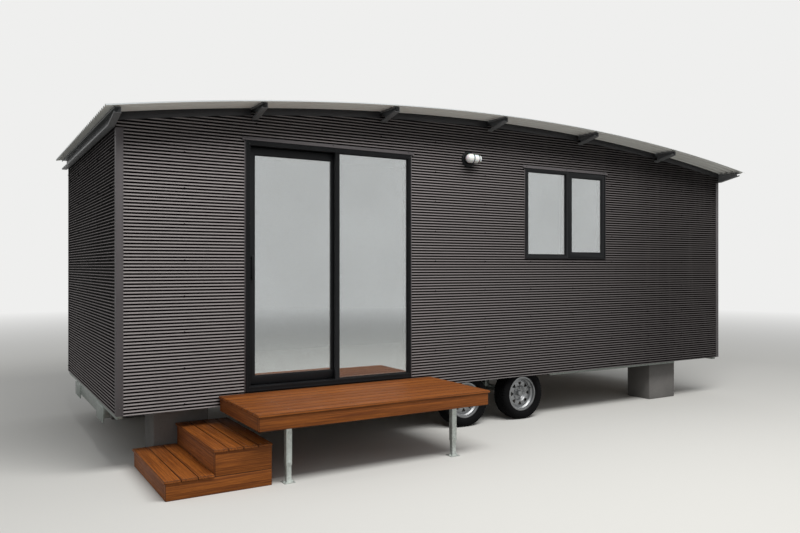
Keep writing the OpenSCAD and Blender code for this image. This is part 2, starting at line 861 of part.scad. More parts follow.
// A folded sheet over a frame: an upstand on the crests, a fall, a turned down edge and closed ends
module head_flashing(x0, x1, z) {
    fold = [[0, flash_up], [-trim_t, flash_up], [-trim_t, flash_fold], [-flash_out, flash_fold - flash_fall],
            [-flash_out, -flash_drip]];
    sheet = concat(fold, [[trim_t - flash_out, -flash_drip],
                          [trim_t - flash_out, flash_fold - flash_fall - trim_t], [0, flash_fold - trim_t]]);
    translate([0, front_y, z]) {
        across(x0, x1) polygon(sheet);
        for (x = [x0, x1 - trim_t]) across(x, x + trim_t) polygon(concat(fold, [[0, -flash_drip]]));
    }
}
module opening_flashings() {
    color([0.2, 0.2, 0.2])
    for (o = [[opening_x0, opening_x1, floor_z, door_z1], [window_x0, window_x1, window_z0, window_z1]]) {
        head_flashing(o[0] - flash_over, o[1] + flash_over, o[3]);
        for (x = [o[0] - jamb_trim, o[1]])
            block([x, front_y - trim_t, o[2]], [x + jamb_trim, front_y, o[3] - flash_drip - seat_gap]);
    }
}

// Window
module window_frame() {
    color([0.08, 0.08, 0.09]) {
        difference() {
            stepped_frame(window_x0, window_x1, window_z0, window_z1,
                          window_x0 + win_face, light_x1, window_z0 + win_face, window_z1 - win_face);
            block([leaf_x0, frame_y0 - eps, window_z0 + win_lip],
                  [window_x1 - win_lip, frame_y0 + leaf_depth, window_z1 - win_lip]);
            block([leaf_x0 + win_stop, frame_y0 - eps, window_z0 + win_face],
                  [window_x1 - win_face, frame_y1 + eps, window_z1 - win_face]);
        }
        difference() {
            block([window_x0 + win_face - eps, frame_y0 + win_pane - bead_d, window_z0 + win_face - eps],
                  [light_x1 + eps, frame_y0 + win_pane, window_z1 - win_face + eps]);
            block([window_x0 + win_face + bead_w, frame_y0, window_z0 + win_face + bead_w],
                  [light_x1 - bead_w, frame_y1, window_z1 - win_face - bead_w]);
        }
    }
}
module window_sash() {
    x0 = leaf_x0 + win_sash_w;
    x1 = window_x1 - win_lip - win_sash_w;
    z0 = window_z0 + win_lip + win_sash_w;
    z1 = window_z1 - win_lip - win_sash_w;
    face_y = frame_y0 + win_back;
    color([0.08, 0.08, 0.09])
    difference() {
        block([leaf_x0 + win_play, face_y, window_z0 + win_lip + win_play],
              [window_x1 - win_lip - win_play, frame_y0 + leaf_depth, window_z1 - win_lip - win_play]);
        block([x0, frame_y0, z0], [x1, frame_y0 + leaf_depth + eps, z1]);
        block([x0 - bead_w, frame_y0, z0 - bead_w], [x1 + bead_w, face_y + bead_d, z1 + bead_w]);
    }
}
module window_glass() {
    color([0.7, 0.8, 0.85, 0.5]) {
        block([window_x0 + win_face, frame_y0 + win_pane, window_z0 + win_face],
              [light_x1, frame_y0 + win_pane + glass_t, window_z1 - win_face]);
        block([leaf_x0 + win_sash_w, frame_y0 + win_leaf_pane, window_z0 + win_lip + win_sash_w],
              [window_x1 - win_lip - win_sash_w, frame_y0 + win_leaf_pane + glass_t,
               window_z1 - win_lip - win_sash_w]);
    }
}

// Lamp
module lamp_base() {
    color("dimgray")
        translate([left_x + lamp_x, front_y, lamp_z])
            turned() polygon([[0, 0], [lamp_base_d / 2, 0], [lamp_base_d / 2, lamp_base_t / 2],
                              [lamp_base_d / 2 - lamp_base_t / 2, lamp_base_t], [0, lamp_base_t]]);
}
// The jar: a dome, a clamping ring at the seam, a narrower housing and its end cap, on a round neck
module lamp_lens() {
    r = lamp_d / 2;
    seam = 6;
    ring_r = r + 2;
    body_r = r - 4;
    cap_r = r * 0.76;
    cap = 14;
    jar = [for (a = [0 : 15 : 90]) [r * sin(a), r * (1 - cos(a))]];
    ring = [[r, lamp_l / 2 - seam], [ring_r, lamp_l / 2 - seam], [ring_r, lamp_l / 2 + seam],
            [body_r, lamp_l / 2 + seam]];
    housing = [[body_r, lamp_l - cap - seam], [cap_r, lamp_l - cap], [cap_r, lamp_l - seam],
               [cap_r - seam, lamp_l], [0, lamp_l]];
    out = front_y - lamp_base_t - lamp_neck - r;
    color("white")
    translate([left_x + lamp_x, out, lamp_z]) {
        translate([-lamp_l / 2 - lamp_shift, 0, 0])
            rotate([0, 90, 0])
                rotate_extrude() polygon(concat(jar, ring, housing));
        turned() translate([0, -r - lamp_neck]) square([lamp_neck_d / 2, r + lamp_neck]);
    }
}

// Steps and landing
// The steps stand on boards on edge, each by itself: sides of two boards, risers and a back
module step_box() {
    x0 = left_x + step_x + board_over;
    x1 = left_x + step_x + step_go + step_top_l;
    y0 = step_y0 + board_over;
    y1 = step_y0 + step_w - board_over;
    split = left_x + step_x + step_go + board_over;
    z1 = step_z1 - board_t;
    z2 = step_z2 - board_t;
    in_y0 = y0 + side_t + seat_gap;
    in_y1 = y1 - side_t - seat_gap;
    color("sienna") {
        for (y = [y0, y1 - side_t]) {
            block([x0, y, 0], [x1, y + side_t, z1]);
            block([split, y, z1 + seat_gap], [x1, y + side_t, z2]);
        }
        block([x0, in_y0, 0], [x0 + side_t, in_y1, z1]);
        for (x = [split, x1 - side_t]) block([x, in_y0, 0], [x + side_t, in_y1, z2]);
    }
}
module boards(x0, x1, y0, y1, z1, n) {
    w = (x1 - x0 - (n - 1) * board_gap) / n;
    for (i = [0 : n - 1])
        block([x0 + i * (w + board_gap), y0, z1 - board_t],
              [x0 + i * (w + board_gap) + w, y1, z1]);
}
module step_treads() {
    x0 = left_x + step_x;
    color("sienna") {
        boards(x0, x0 + step_go + board_over - board_gap, step_y0, step_y0 + step_w, step_z1, step_n1);
        boards(x0 + step_go, x0 + step_go + step_top_l, step_y0, step_y0 + step_w, step_z2, step_n2);
    }
}
// The joists stand over the legs and at even steps between them
function leg_x(u) = left_x + land_x + leg_end + u * (land_l - 2 * leg_end);
module landing_frame() {
    x0 = left_x + land_x + board_over;
    x1 = left_x + land_x + land_l - board_over;
    y0 = land_y0 + board_over;
    y1 = front_y - seat_gap;
    z1 = land_z - board_t;
    z0 = z1 - land_frame_h;
    joists = concat([x0 + side_t / 2, x1 - side_t / 2], [for (i = [0 : joist_n - 1]) leg_x(i / (joist_n - 1))]);
    color("sienna") {
        for (y = [y0, y1 - side_t]) block([x0, y, z0], [x1, y + side_t, z1]);
        for (x = joists)
            block([x - side_t / 2, y0 + side_t + seat_gap, z0], [x + side_t / 2, y1 - side_t - seat_gap, z1]);
    }
}
module landing_decking() {
    w = (land_d - deck_gap - (land_n - 1) * board_gap) / land_n;
    color("sienna")
    for (i = [0 : land_n - 1])
        block([left_x + land_x, land_y0 + i * (w + board_gap), land_z - board_t],
              [left_x + land_x + land_l, land_y0 + i * (w + board_gap) + w, land_z]);
}
// Square tubes that slide in each other, with a bolt across, on foot plates and under head plates
module landing_legs() {
    top = land_z - board_t - land_frame_h;
    color("darkgray")
    for (end = [0, 1])
        translate([leg_x(end), land_y0 + leg_front, 0]) {
            block([-foot_a / 2, -foot_a / 2, 0], [foot_a / 2, foot_a / 2, foot_t]);
            block([-leg_b / 2, -leg_b / 2, 0], [leg_b / 2, leg_b / 2, leg_split + leg_bolt_z]);
            block([-leg_a / 2, -leg_a / 2, leg_split], [leg_a / 2, leg_a / 2, top]);
            block([-foot_a / 2, -foot_a / 2, top - foot_t], [foot_a / 2, foot_a / 2, top]);
            translate([0, 0, leg_split + leg_bolt_z])
                drum(leg_bolt / 2, -leg_a / 2 - leg_bolt, leg_a / 2 + leg_bolt, 24);
            for (x = [-1, 1])
                translate([x * (foot_a / 2 - 1.2 * leg_bolt), 0, 0])
                    cylinder(d = 2 * leg_bolt, h = foot_t + leg_bolt, $fn = 6);
        }
}

// Wheels, drawn about their own axis with the outer face towards -Y
module wheel_place(i, side) {
    translate([left_x + axle_x + i * axle_pitch / 2, 0, 0])
        mirror_back(side)
            translate([0, front_y + wheel_y, wheel_r]) children();
}
module turned() {
    rotate([90, 0, 0]) rotate_extrude($fn = 180) children();
}
// Steel disc wheel: a barrel with flanges, bead seats and a well, a bulged disc with cut holes, and the hub
module rim() {
    half = rim_w / 2;
    flange = half + rim_t;
    seat_w = rim_w / 5;
    slope = rim_w / 10;
    well_in = well_r - rim_t;
    crown = hole_circle - 0.6 * hole_size;
    color("gainsboro")
    difference() {
        union() {
            turned() {
                polygon([[rim_d / 2, flange], [rim_d / 2, half], [bead_r, half], [bead_r, half - seat_w],
                         [well_r, half - seat_w - slope], [well_r, -half + seat_w + slope],
                         [bead_r, -half + seat_w], [bead_r, -half], [rim_d / 2, -half], [rim_d / 2, -flange],
                         [bead_r - rim_t, -flange], [bead_r - rim_t, -half + seat_w],
                         [well_in, -half + seat_w + slope], [well_in, half - seat_w - slope],
                         [bead_r - rim_t, half - seat_w], [bead_r - rim_t, flange]]);
                polygon([[0, 0], [nut_circle + nut_d / 4, 0], [crown, disc_out - rim_t],
                         [hole_circle + hole_size / 2, disc_out - rim_t], [well_in + eps, disc_out / 2],
                         [well_in + eps, disc_out / 2 + rim_t], [hole_circle + hole_size / 2, disc_out],
                         [crown, disc_out], [nut_circle + nut_d / 4, rim_t], [0, rim_t]]);
                polygon([[0, -hub_l], [hub_d / 2, -hub_l], [hub_d / 2, -3 * rim_t],
                         [nut_circle + nut_d / 2, -3 * rim_t], [nut_circle + nut_d / 2, -rim_t],
                         [nut_circle, 0], [hub_d / 2 - rim_t, eps],
                         [hub_d / 2 - rim_t, cap_l * 0.7], [hub_d / 2 - 3 * rim_t, cap_l], [0, cap_l]]);
            }
            for (i = [0 : nut_n - 1])
                rotate([0, i * 360 / nut_n, 0])
                    translate([nut_circle, -rim_t + eps, 0])
                        rotate([90, 0, 0]) cylinder(d = nut_d, h = 4 * rim_t, $fn = 6);
        }
        drum(hub_bore / 2, -cap_hollow, hub_l + eps);
        for (i = [0 : hole_n - 1])
            rotate([90, i * 360 / hole_n, 0]) wheel_hole();
    }
}
// A triangular hole with blunted corners, its point towards the hub
module wheel_hole() {
    r0 = hole_circle - hole_size / 2;
    r1 = hole_circle + hole_size / 2;
    b = hole_size / 6;
    linear_extrude(disc_out + rim_t)
        polygon([[r0, -b], [r1 - b, -hole_size / 2 - b], [r1, -hole_size / 2], [r1, hole_size / 2],
                 [r1 - b, hole_size / 2 + b], [r0, b]]);
}
// Half a tyre's section from the bead out, as radius and distance from the wheel's middle
function tyre_side(half, side, tread, mid_r) = concat(
    [[bead_r, half], [rim_d / 2 + eps, half]],
    [for (a = [15 : 15 : 90])
        [mid_r - (mid_r - rim_d / 2 - eps) * cos(a), half + (side - half) * sin(a)]],
    [for (a = [15 : 15 : 90])
        [mid_r + (wheel_r - mid_r) * sin(a), tread + (side - tread) * cos(a)]]
);
function groove(y) = [
    [wheel_r, y + groove_w / 2], [wheel_r - groove_d, y + groove_w / 4],
    [wheel_r - groove_d, y - groove_w / 4], [wheel_r, y - groove_w / 2]
];
module tyre() {
    upper = tyre_side(rim_w / 2, tyre_w / 2, tread_w / 2, (rim_d / 2 + wheel_r) / 2);
    lower = [for (i = [len(upper) - 1 : -1 : 0]) [upper[i][0], -upper[i][1]]];
    grooves = concat(groove(groove_pitch), groove(0), groove(-groove_pitch));
    color([0.1, 0.1, 0.1]) turned() polygon(concat(upper, grooves, lower));
}
module wheel_front_left_rim() { wheel_place(-1, 0) rim(); }
module wheel_front_left_tyre() { wheel_place(-1, 0) tyre(); }
module wheel_front_right_rim() { wheel_place(1, 0) rim(); }
module wheel_front_right_tyre() { wheel_place(1, 0) tyre(); }
module wheel_back_left_rim() { wheel_place(-1, 1) rim(); }
module wheel_back_left_tyre() { wheel_place(-1, 1) tyre(); }
module wheel_back_right_rim() { wheel_place(1, 1) rim(); }
module wheel_back_right_tyre() { wheel_place(1, 1) tyre(); }

chassis_rails();
chassis_crossmembers();
axles();
leaf_springs();
piers();
floor();
floor_rim();
front_wall_left();
front_wall_over_door();
front_wall_right();
back_wall();
left_end_wall();
right_end_wall();
front_cladding();
back_cladding();
end_cladding();
cladding_trims();
roof_sheet();
roof_purlins();
eave_capping();
ceiling();
door_frame();
door_fixed_glass();
opening_flashings();
sash_frame();
sash_glass();
sash_handle();
window_frame();
window_sash();
window_glass();
lamp_base();
lamp_lens();
step_box();
step_treads();
landing_frame();
landing_decking();
landing_legs();
wheel_front_left_rim();
wheel_front_left_tyre();
wheel_front_right_rim();
wheel_front_right_tyre();
wheel_back_left_rim();
wheel_back_left_tyre();
wheel_back_right_rim();
wheel_back_right_tyre();
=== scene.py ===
"""Dresses a tiny house on a tandem trailer: sheet metal, glazing, timber, running gear and a pale stage."""

import math
import random

import bmesh
import bpy
from bpy.props import FloatProperty, FloatVectorProperty, IntProperty, PointerProperty
from bpy.types import Operator, Panel, PropertyGroup
from mathutils import Matrix, Vector


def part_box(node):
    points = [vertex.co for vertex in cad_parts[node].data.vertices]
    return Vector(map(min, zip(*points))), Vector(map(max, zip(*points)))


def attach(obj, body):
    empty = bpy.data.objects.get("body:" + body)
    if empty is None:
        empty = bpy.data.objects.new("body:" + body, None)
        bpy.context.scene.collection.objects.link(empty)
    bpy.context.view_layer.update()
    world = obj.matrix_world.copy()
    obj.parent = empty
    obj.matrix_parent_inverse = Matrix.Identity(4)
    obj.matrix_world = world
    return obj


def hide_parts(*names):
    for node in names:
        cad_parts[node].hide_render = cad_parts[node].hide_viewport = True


bl_info = {
    "name": "Tiny House",
    "version": (1, 0, 0),
    "blender": (4, 5, 0),
    "location": "View3D > Sidebar > Tiny House",
    "description": "Corrugated cladding, glazing, timber, running gear and a pale stage for a tiny house",
    "category": "Object",
}

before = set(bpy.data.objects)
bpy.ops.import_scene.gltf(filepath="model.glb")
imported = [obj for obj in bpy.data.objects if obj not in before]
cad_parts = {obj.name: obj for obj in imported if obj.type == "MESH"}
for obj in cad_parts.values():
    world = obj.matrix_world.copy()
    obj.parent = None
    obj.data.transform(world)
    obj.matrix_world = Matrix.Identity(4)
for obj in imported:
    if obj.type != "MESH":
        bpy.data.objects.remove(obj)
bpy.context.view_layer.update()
HOUSE = "house"
SASH = "sliding_sash"
WHEELS = ("wheel_front_left", "wheel_front_right", "wheel_back_left", "wheel_back_right")
ABOUT_FACE = Matrix.Rotation(math.pi, 4, "Z")
# Straight steps in a wave of a wall sheet, in a wave of the roof sheet, and in the roof sheet's arc
WALL_STEPS, ROOF_STEPS, ARC_STEPS = 8, 12, 40
# Shares of a wave: a wall sheet's lower edge above a crest, the roof sheet's front edge before a crest
WALL_PHASE, ROOF_PHASE = 1 / 8, 7 / 16
# Sheets and tyres shade smooth across their facets up to these angles, in degrees
SHEET_ANGLE, TYRE_ANGLE = 50, 35
# Edges sharper than the first angle are rounded, and faces that meet flatter than the second are made one
SHARP, FLAT = math.radians(30), math.radians(0.4)
# Points closer than this are one point
MERGE = 1e-5
# Keeps two faces out of one plane
HAIR = 0.0001
# How far an added part reaches into the piece that it sits on
SUNK = 0.001
# Radius of the small flat that closes a dome or a disc
PIN = 0.0006
# Least part of a flat timber face's normal along one axis; the faces of a rounded edge have less
SQUARE = 0.98
# Sides of a tyre from one cut across its shoulder to the next
SIPE_SIDES = 4
# A valve's foot, stem, cap and tip: the radius of each, then its start and end out from the wheel's middle
VALVE = ((0.0055, 0.012, 0.022), (0.0035, 0.026, 0.044), (0.0045, 0.045, 0.055), (0.0025, 0.057))


def linear(code):
    """Turns an sRGB hex colour into the linear one that a shader takes."""
    channels = [int(code[i:i + 2], 16) / 255 for i in (1, 3, 5)]
    return [c / 12.92 if c <= 0.04045 else ((c + 0.055) / 1.055) ** 2.4 for c in channels]


def colour(name, description, code):
    """A colour that the user may change."""
    return FloatVectorProperty(
        name=name, description=description, subtype="COLOR", size=3, min=0, max=1, default=linear(code)
    )


def length(name, description, default):
    """A length that the user may change, in metres."""
    return FloatProperty(name=name, description=description, default=default, unit="LENGTH")


def whole(name, description, default):
    """A whole number that the user may change."""
    return IntProperty(name=name, description=description, default=default, min=1)


def fraction(name, description, default):
    """A share of a whole that the user may change."""
    return FloatProperty(name=name, description=description, default=default, min=0, max=1, subtype="FACTOR")


def degrees(name, description, default):
    """An angle that the user may change, with its default in degrees."""
    return FloatProperty(name=name, description=description, default=math.radians(default), subtype="ANGLE")


def location(name, description, default):
    """A place that the user may change."""
    return FloatVectorProperty(name=name, description=description, default=default, subtype="TRANSLATION")


class SheetMetalSettings(PropertyGroup):
    """Sizes of the corrugated sheets, their trims and their screws."""

    wall_pitch: length("Wall pitch", "From crest to crest of the wall sheets", 0.026)
    wall_depth: length("Wall depth", "Depth of the wall sheets' waves", 0.006)
    wall_sheet: length("Wall sheet", "Thickness of the wall sheets", 0.001)
    roof_pitch: length("Roof pitch", "From crest to crest of the roof sheet", 0.0762)
    roof_depth: length("Roof depth", "Depth of the roof sheet's waves", 0.016)
    roof_sheet: length("Roof sheet", "Thickness of the roof sheet", 0.0012)
    stud_start: length("First stud", "Distance of the first line of screws from the left end", 0.515)
    stud_pitch: length("Stud pitch", "Distance between the walls' lines of screws", 0.598)
    end_studs: whole("End studs", "Lines of screws on each side of an end wall's middle", 2)
    first_row: whole("First row", "Crest that takes the lowest row of wall screws", 2)
    screw_rows: whole("Screw rows", "Crests from one row of wall screws to the next", 11)
    roof_rows: whole("Roof rows", "Crests from one roof screw to the next", 2)
    screw_gap: length("Screw gap", "Least distance of a wall screw from an opening or the roof", 0.035)
    washer: length("Washer", "Radius of a screw's washer", 0.0065)
    washer_rim: length("Washer rim", "Thickness of a screw's washer at its rim", 0.0012)
    washer_top: length("Washer top", "Thickness of a screw's washer in the middle", 0.0018)
    head_edge: length("Head edge", "Height of a screw's head at its edge", 0.0055)
    head_top: length("Head top", "Height of a screw's head in the middle", 0.0065)
    trim_leg: length("Trim leg", "Width of a corner trim's legs", 0.053)
    trim_sheet: length("Trim sheet", "Thickness of the trims and flashings", 0.0015)
    hem: length("Hem", "Folded edge of a corner trim", 0.008)
    trim_screws: length("Trim screws", "Distance between the screws of the trims", 1.05)
    trim_margin: length("Trim margin", "Distance of a corner trim's last screws from its ends", 0.06)
    flashing_margin: length("Flashing margin", "Distance of a flashing's last screws from its ends", 0.05)
    fold: length("Fold", "Rounding of a folded sheet's edges", 0.0004)
    # Share of the front wall's painted highlight that the end walls' slopes get; the smaller share is painted
    # shade on the sheltered ends
    end_painted_light: fraction("End dust", "Dust on the sheltered end walls, as a share of the front wall's", 0.74)


class GlazingSettings(PropertyGroup):
    """Sizes of the door's and the window's profiles."""

    pane: length("Pane", "Thickness of one pane of a double glazed unit", 0.004)
    gasket: length("Gasket", "Width of the rubber round the glass", 0.004)
    spacer: length("Spacer", "Width of the bar between two panes", 0.009)
    glass_edge: length("Glass edge", "Rounding of a pane's edges", 0.0004)
    soft_edge: length("Soft edge", "Rounding of the aluminium's edges", 0.0009)
    pull_edge: length("Pull edge", "Rounding of the door pull's edges", 0.003)
    step: length("Step", "Depth of a frame's face behind its lip", 0.003)
    jamb: length("Jamb", "Face width of the door frame", 0.040)
    fixed_jamb: length("Fixed jamb", "Face width of the door frame beside the fixed pane", 0.028)
    ridge: length("Ridge", "Height of the ridges along the door frame", 0.0018)
    ridge_in: length("Ridge inset", "Distance of the ridges from the door frame's outer edge", 0.013)
    cap: length("Cap", "Radius of the caps over the frame's fixings", 0.005)
    cap_in: fraction("Cap inset", "Place of the caps across the frame's face, from its outer edge", 0.8)
    cap_margin: length("Cap margin", "Distance of the last caps from the frame's ends", 0.035)
    door_bead: length("Door bead", "Width of the bead before the door's fixed pane", 0.006)
    window_bead: length("Window bead", "Width of the bead before the window's fixed pane", 0.006)


class LampSettings(PropertyGroup):
    """Sizes of the lamp beside the door."""

    collar: length("Collar", "How far the clamping ring stands out from the jar", 0.002)
    wall: length("Wall", "Thickness of the jar's glass at the seam", 0.003)
    bevel: length("Bevel", "Width of the small bevels of the rings and the housing", 0.002)
    middle: fraction("Middle", "Place of the seam between jar and housing along the lamp", 0.43)
    seam: length("Seam", "Half the width of the seam between jar and housing", 0.006)
    end_seam: length("End seam", "Half the width of the seam before the end cap", 0.0045)
    shoulder: length("Shoulder", "How much narrower the housing is than the jar", 0.004)
    end_cap: length("End cap", "Length of the narrow cap at the housing's end", 0.028)
    cap_width: fraction("Cap width", "Radius of the end cap as a share of the jar's", 0.76)
    neck: length("Neck", "Radius of the neck on the base", 0.028)
    neck_depth: fraction("Neck depth", "How far the neck reaches in, as a share of the jar's radius", 0.6)
    base_edge: length("Base edge", "Width of the base ring's bevel", 0.008)
    base_groove: length("Base groove", "Distance of the base ring's groove from its edge", 0.022)
    groove_width: length("Groove width", "Width of the base ring's groove", 0.01)


class TimberSettings(PropertyGroup):
    """Sizes of the landing's and the steps' boards."""

    board_edge: length("Board edge", "Rounding of a board's edges", 0.003)
    screw: length("Deck screw", "Radius of a deck screw's head", 0.0045)
    crown: length("Crown", "Height of a deck screw's head", 0.0008)
    leg_edge: length("Leg edge", "Rounding of the landing legs' edges", 0.0015)
    screw_in: length("Screw inset", "Distance of a screw from a board's edge", 0.022)
    screw_end: length("Screw end", "Distance of a screw from a tread's end", 0.027)


class RunningGearSettings(PropertyGroup):
    """Sizes of the wheels' and the chassis' details."""

    groove: length("Groove", "Width of a tyre's tread groove", 0.007)
    groove_depth: length("Groove depth", "Depth of a tyre's tread groove", 0.007)
    groove_pitch: length("Groove pitch", "Distance between the tread grooves", 0.036)
    tread: length("Tread", "Half the width of the tread", 0.064)
    bead: length("Bead", "Height of the rim's flange above the bead seat", 0.013)
    bead_lip: length("Bead lip", "How far a tyre's side starts above the bead seat", 0.001)
    flange: length("Flange", "Thickness of the rim's flange", 0.004)
    sipe_depth: length("Sipe depth", "Depth of the cuts across the tyre's shoulders", 0.005)
    ring: length("Ring", "Height of the rings on a tyre's sidewall", 0.0014)
    sipes: whole("Sipes", "Cuts across a tyre's shoulder", 60)
    shoulder: length("Shoulder", "Depth of the band under the tread that the cuts reach", 0.016)
    valve_circle: length("Valve circle", "Distance of the valve from the wheel's axis", 0.137)
    valve_turn: degrees("Valve turn", "Turn of the valve about the wheel's axis", 22.345)
    steel_edge: length("Steel edge", "Rounding of the rolled steel's edges", 0.003)
    wheel_edge: length("Wheel edge", "Rounding of the pressed wheel's edges", 0.0008)
    pier_edge: length("Pier edge", "Rounding of the piers' edges", 0.009)


class FinishSettings(PropertyGroup):
    """Colours of the finishes."""

    cladding: colour("Cladding", "Satin charcoal paint on the wall sheets", "#494646")
    trim: colour("Trim", "Paint of the corner trims and flashings", "#545052")
    purlin: colour("Purlin", "Dull grey coat of the purlins", "#66686A")
    aluminium: colour("Aluminium", "Black powder coat of the door and the window", "#18191B")
    capping: colour("Capping", "Near black paint of the eave capping", "#29292B")
    roof: colour("Roof", "Zinc and aluminium coated roof sheet", "#C3C8CB")
    zinc: colour("Zinc", "Hot dip galvanised steel", "#C0C6C2")
    # Darker than the zinc: painted shade for the steel under the floor
    chassis: colour("Chassis", "Weathered galvanised steel under the floor", "#858C88")
    concrete: colour("Concrete", "Cast concrete of the piers", "#7E7C7A")
    timber_light: colour("Light timber", "Early wood of the oiled hardwood", "#B06728")
    timber_dark: colour("Dark timber", "Late wood of the oiled hardwood", "#733C15")
    plywood: colour("Plywood", "Sealed plywood floor", "#9A7B57")
    lining: colour("Lining", "Painted wall and ceiling lining", "#D9D6CF")
    rubber: colour("Rubber", "Tyre and glazing rubber", "#0F0F10")
    # Paler than a plain backing coat: partly painted light, for the light thrown up from the ground
    backing: colour("Backing", "Pale coat on the roof sheet's underside", "#E9EAE6")
    rim: colour("Rim", "Silver enamel of the rims", "#8F9193")
    lamp: colour("Lamp", "White enamel and opal glass of the lamp", "#ECEEEE")
    stainless: colour("Stainless", "Stainless steel screws", "#8F8B85")
    spacer: colour("Spacer", "Mill finish aluminium bars between the panes", "#D8DADB")
    glass: colour("Glass", "Faint tint of the float glass", "#E7EDEE")


class StageSettings(PropertyGroup):
    """The camera, the lights and the floor."""

    camera: location("Camera", "Place of the camera", (-4.609, -6.8665, 1.60))
    heading: degrees("Heading", "Turn of the camera to the right", 30.96)
    lens: FloatProperty(name="Lens", description="Focal length in millimetres", default=32.95)
    sensor: FloatProperty(name="Sensor", description="Width of the sensor in millimetres", default=36.0)
    sight: length("Sight", "How far the camera sees", 500.0)
    floor_radius: length("Floor radius", "Radius of the studio floor", 60.0)
    fade_start: length("Fade start", "Distance at which the floor starts to fade into the backdrop", 7.0)
    fade_end: length("Fade end", "Distance at which the floor is all backdrop", 22.0)
    softbox: location("Softbox", "Place of the softbox before the house", (-0.5, -5.5, 8.0))
    tilt: degrees("Tilt", "Turn of the softbox towards the house", 35)
    box_width: length("Softbox width", "Width of the softbox", 8.0)
    box_depth: length("Softbox depth", "Depth of the softbox", 3.0)
    floor: colour("Floor", "Pale studio floor", "#DADAD7")
    bounce: colour("Bounce", "The floor as the house's dull surfaces are lit by it", "#989793")
    backdrop: colour("Backdrop", "Pale backdrop", "#EFEFEE")
    fill: FloatProperty(name="Fill", description="Strength of the soft light from all round", default=0.45)
    key: FloatProperty(name="Key", description="Radiance of the softbox in front of the house", default=8.8)
    warmth: FloatVectorProperty(
        name="Warmth", description="Colour of the softbox's light", subtype="COLOR",
        default=(1.0, 0.985, 0.96)
    )


def settings(group):
    """The property group of that name on the scene."""
    return getattr(bpy.context.scene, group)


def deselect():
    """Leaves edit mode and selects nothing."""
    if bpy.context.mode != "OBJECT":
        bpy.ops.object.mode_set(mode="OBJECT")
    bpy.ops.object.select_all(action="DESELECT")


def choose(piece):
    """Makes one object the only selected one."""
    deselect()
    piece.select_set(True)
    bpy.context.view_layer.objects.active = piece


def shift(x, y, z):
    """A move to a place."""
    return Matrix.Translation((x, y, z))


def quarter_turn(axis, sign=-1):
    """A quarter turn about an axis."""
    return Matrix.Rotation(sign * math.pi / 2, 4, axis)


def add_block(low, high):
    """A box between two corners, with its place in its mesh."""
    low, high = Vector(low), Vector(high)
    deselect()
    bpy.ops.mesh.primitive_cube_add(size=1, location=(low + high) / 2)
    piece = bpy.context.object
    piece.scale = high - low
    bpy.ops.object.transform_apply(location=True, rotation=True, scale=True)
    return piece


def join(parts):
    """Joins finished meshes into one piece."""
    choose(parts[0])
    for part in parts[1:]:
        part.select_set(True)
    if len(parts) > 1:
        bpy.ops.object.join()
    return bpy.context.view_layer.objects.active


def copy_to(source, matrices):
    """Copies of a mesh at each place, each with its own mesh. The source becomes the first."""
    copies = [source]
    for matrix in matrices[1:]:
        twin = source.copy()
        twin.data = source.data.copy()
        twin.data.transform(matrix)
        if matrix.determinant() < 0:
            twin.data.flip_normals()
        bpy.context.scene.collection.objects.link(twin)
        copies.append(twin)
    source.data.transform(matrices[0])
    return copies


def loft(rings, closed=False):
    """Draws the first ring and extrudes it to each of the others, then caps the ends or joins them up."""
    deselect()
    bpy.ops.mesh.primitive_circle_add(vertices=len(rings[0]), fill_type="NOTHING")
    piece = bpy.context.object
    bpy.ops.object.mode_set(mode="EDIT")
    bpy.ops.mesh.select_all(action="SELECT")
    shape = bmesh.from_edit_mesh(piece.data)
    number = shape.verts.layers.int.new("number")
    shape.verts.layers.int.new("row")
    shape.verts.ensure_lookup_table()
    for i, point in enumerate(rings[0]):
        shape.verts[i].co = point
        shape.verts[i][number] = i
    bmesh.update_edit_mesh(piece.data)
    for r, ring in enumerate(rings[1:] + ([rings[0]] if closed else []), 1):
        bpy.ops.mesh.extrude_region()
        shape = bmesh.from_edit_mesh(piece.data)
        number = shape.verts.layers.int["number"]
        row = shape.verts.layers.int["row"]
        for vert in shape.verts:
            if vert.select:
                vert.co = ring[vert[number]]
                vert[row] = r
        bmesh.update_edit_mesh(piece.data)
    if closed:
        bpy.ops.mesh.select_all(action="SELECT")
        bpy.ops.mesh.remove_doubles(threshold=MERGE)
    else:
        for end in (0, len(rings) - 1):
            bpy.ops.mesh.select_all(action="DESELECT")
            shape = bmesh.from_edit_mesh(piece.data)
            row = shape.verts.layers.int["row"]
            for vert in shape.verts:
                vert.select = vert[row] == end
            shape.select_flush(True)
            bmesh.update_edit_mesh(piece.data)
            bpy.ops.mesh.edge_face_add()
    bpy.ops.mesh.select_all(action="SELECT")
    bpy.ops.mesh.normals_make_consistent(inside=False)
    bpy.ops.object.mode_set(mode="OBJECT")
    for layer in ("number", "row"):
        piece.data.attributes.remove(piece.data.attributes[layer])
    return piece


def turned(profile, sides, closed=False):
    """A shape turned about Y from its profile of (radius, y) steps."""
    angles = [2 * math.pi * i / sides for i in range(sides)]
    return loft([[Vector((r * math.cos(a), y, r * math.sin(a))) for a in angles] for r, y in profile], closed)


def mitred(outer, inner, profile):
    """A mitred frame: profile steps are (share of the way from the outer to the inner outline, depth)."""
    rings = []
    for share, y in profile:
        x0, x1, z0, z1 = (a + (b - a) * share for a, b in zip(outer, inner))
        rings.append([Vector(p) for p in ((x0, y, z0), (x1, y, z0), (x1, y, z1), (x0, y, z1))])
    return loft(rings, closed=True)


def inset(outline, distance):
    """An outline drawn smaller on all four sides."""
    x0, x1, z0, z1 = outline
    return x0 + distance, x1 - distance, z0 + distance, z1 - distance


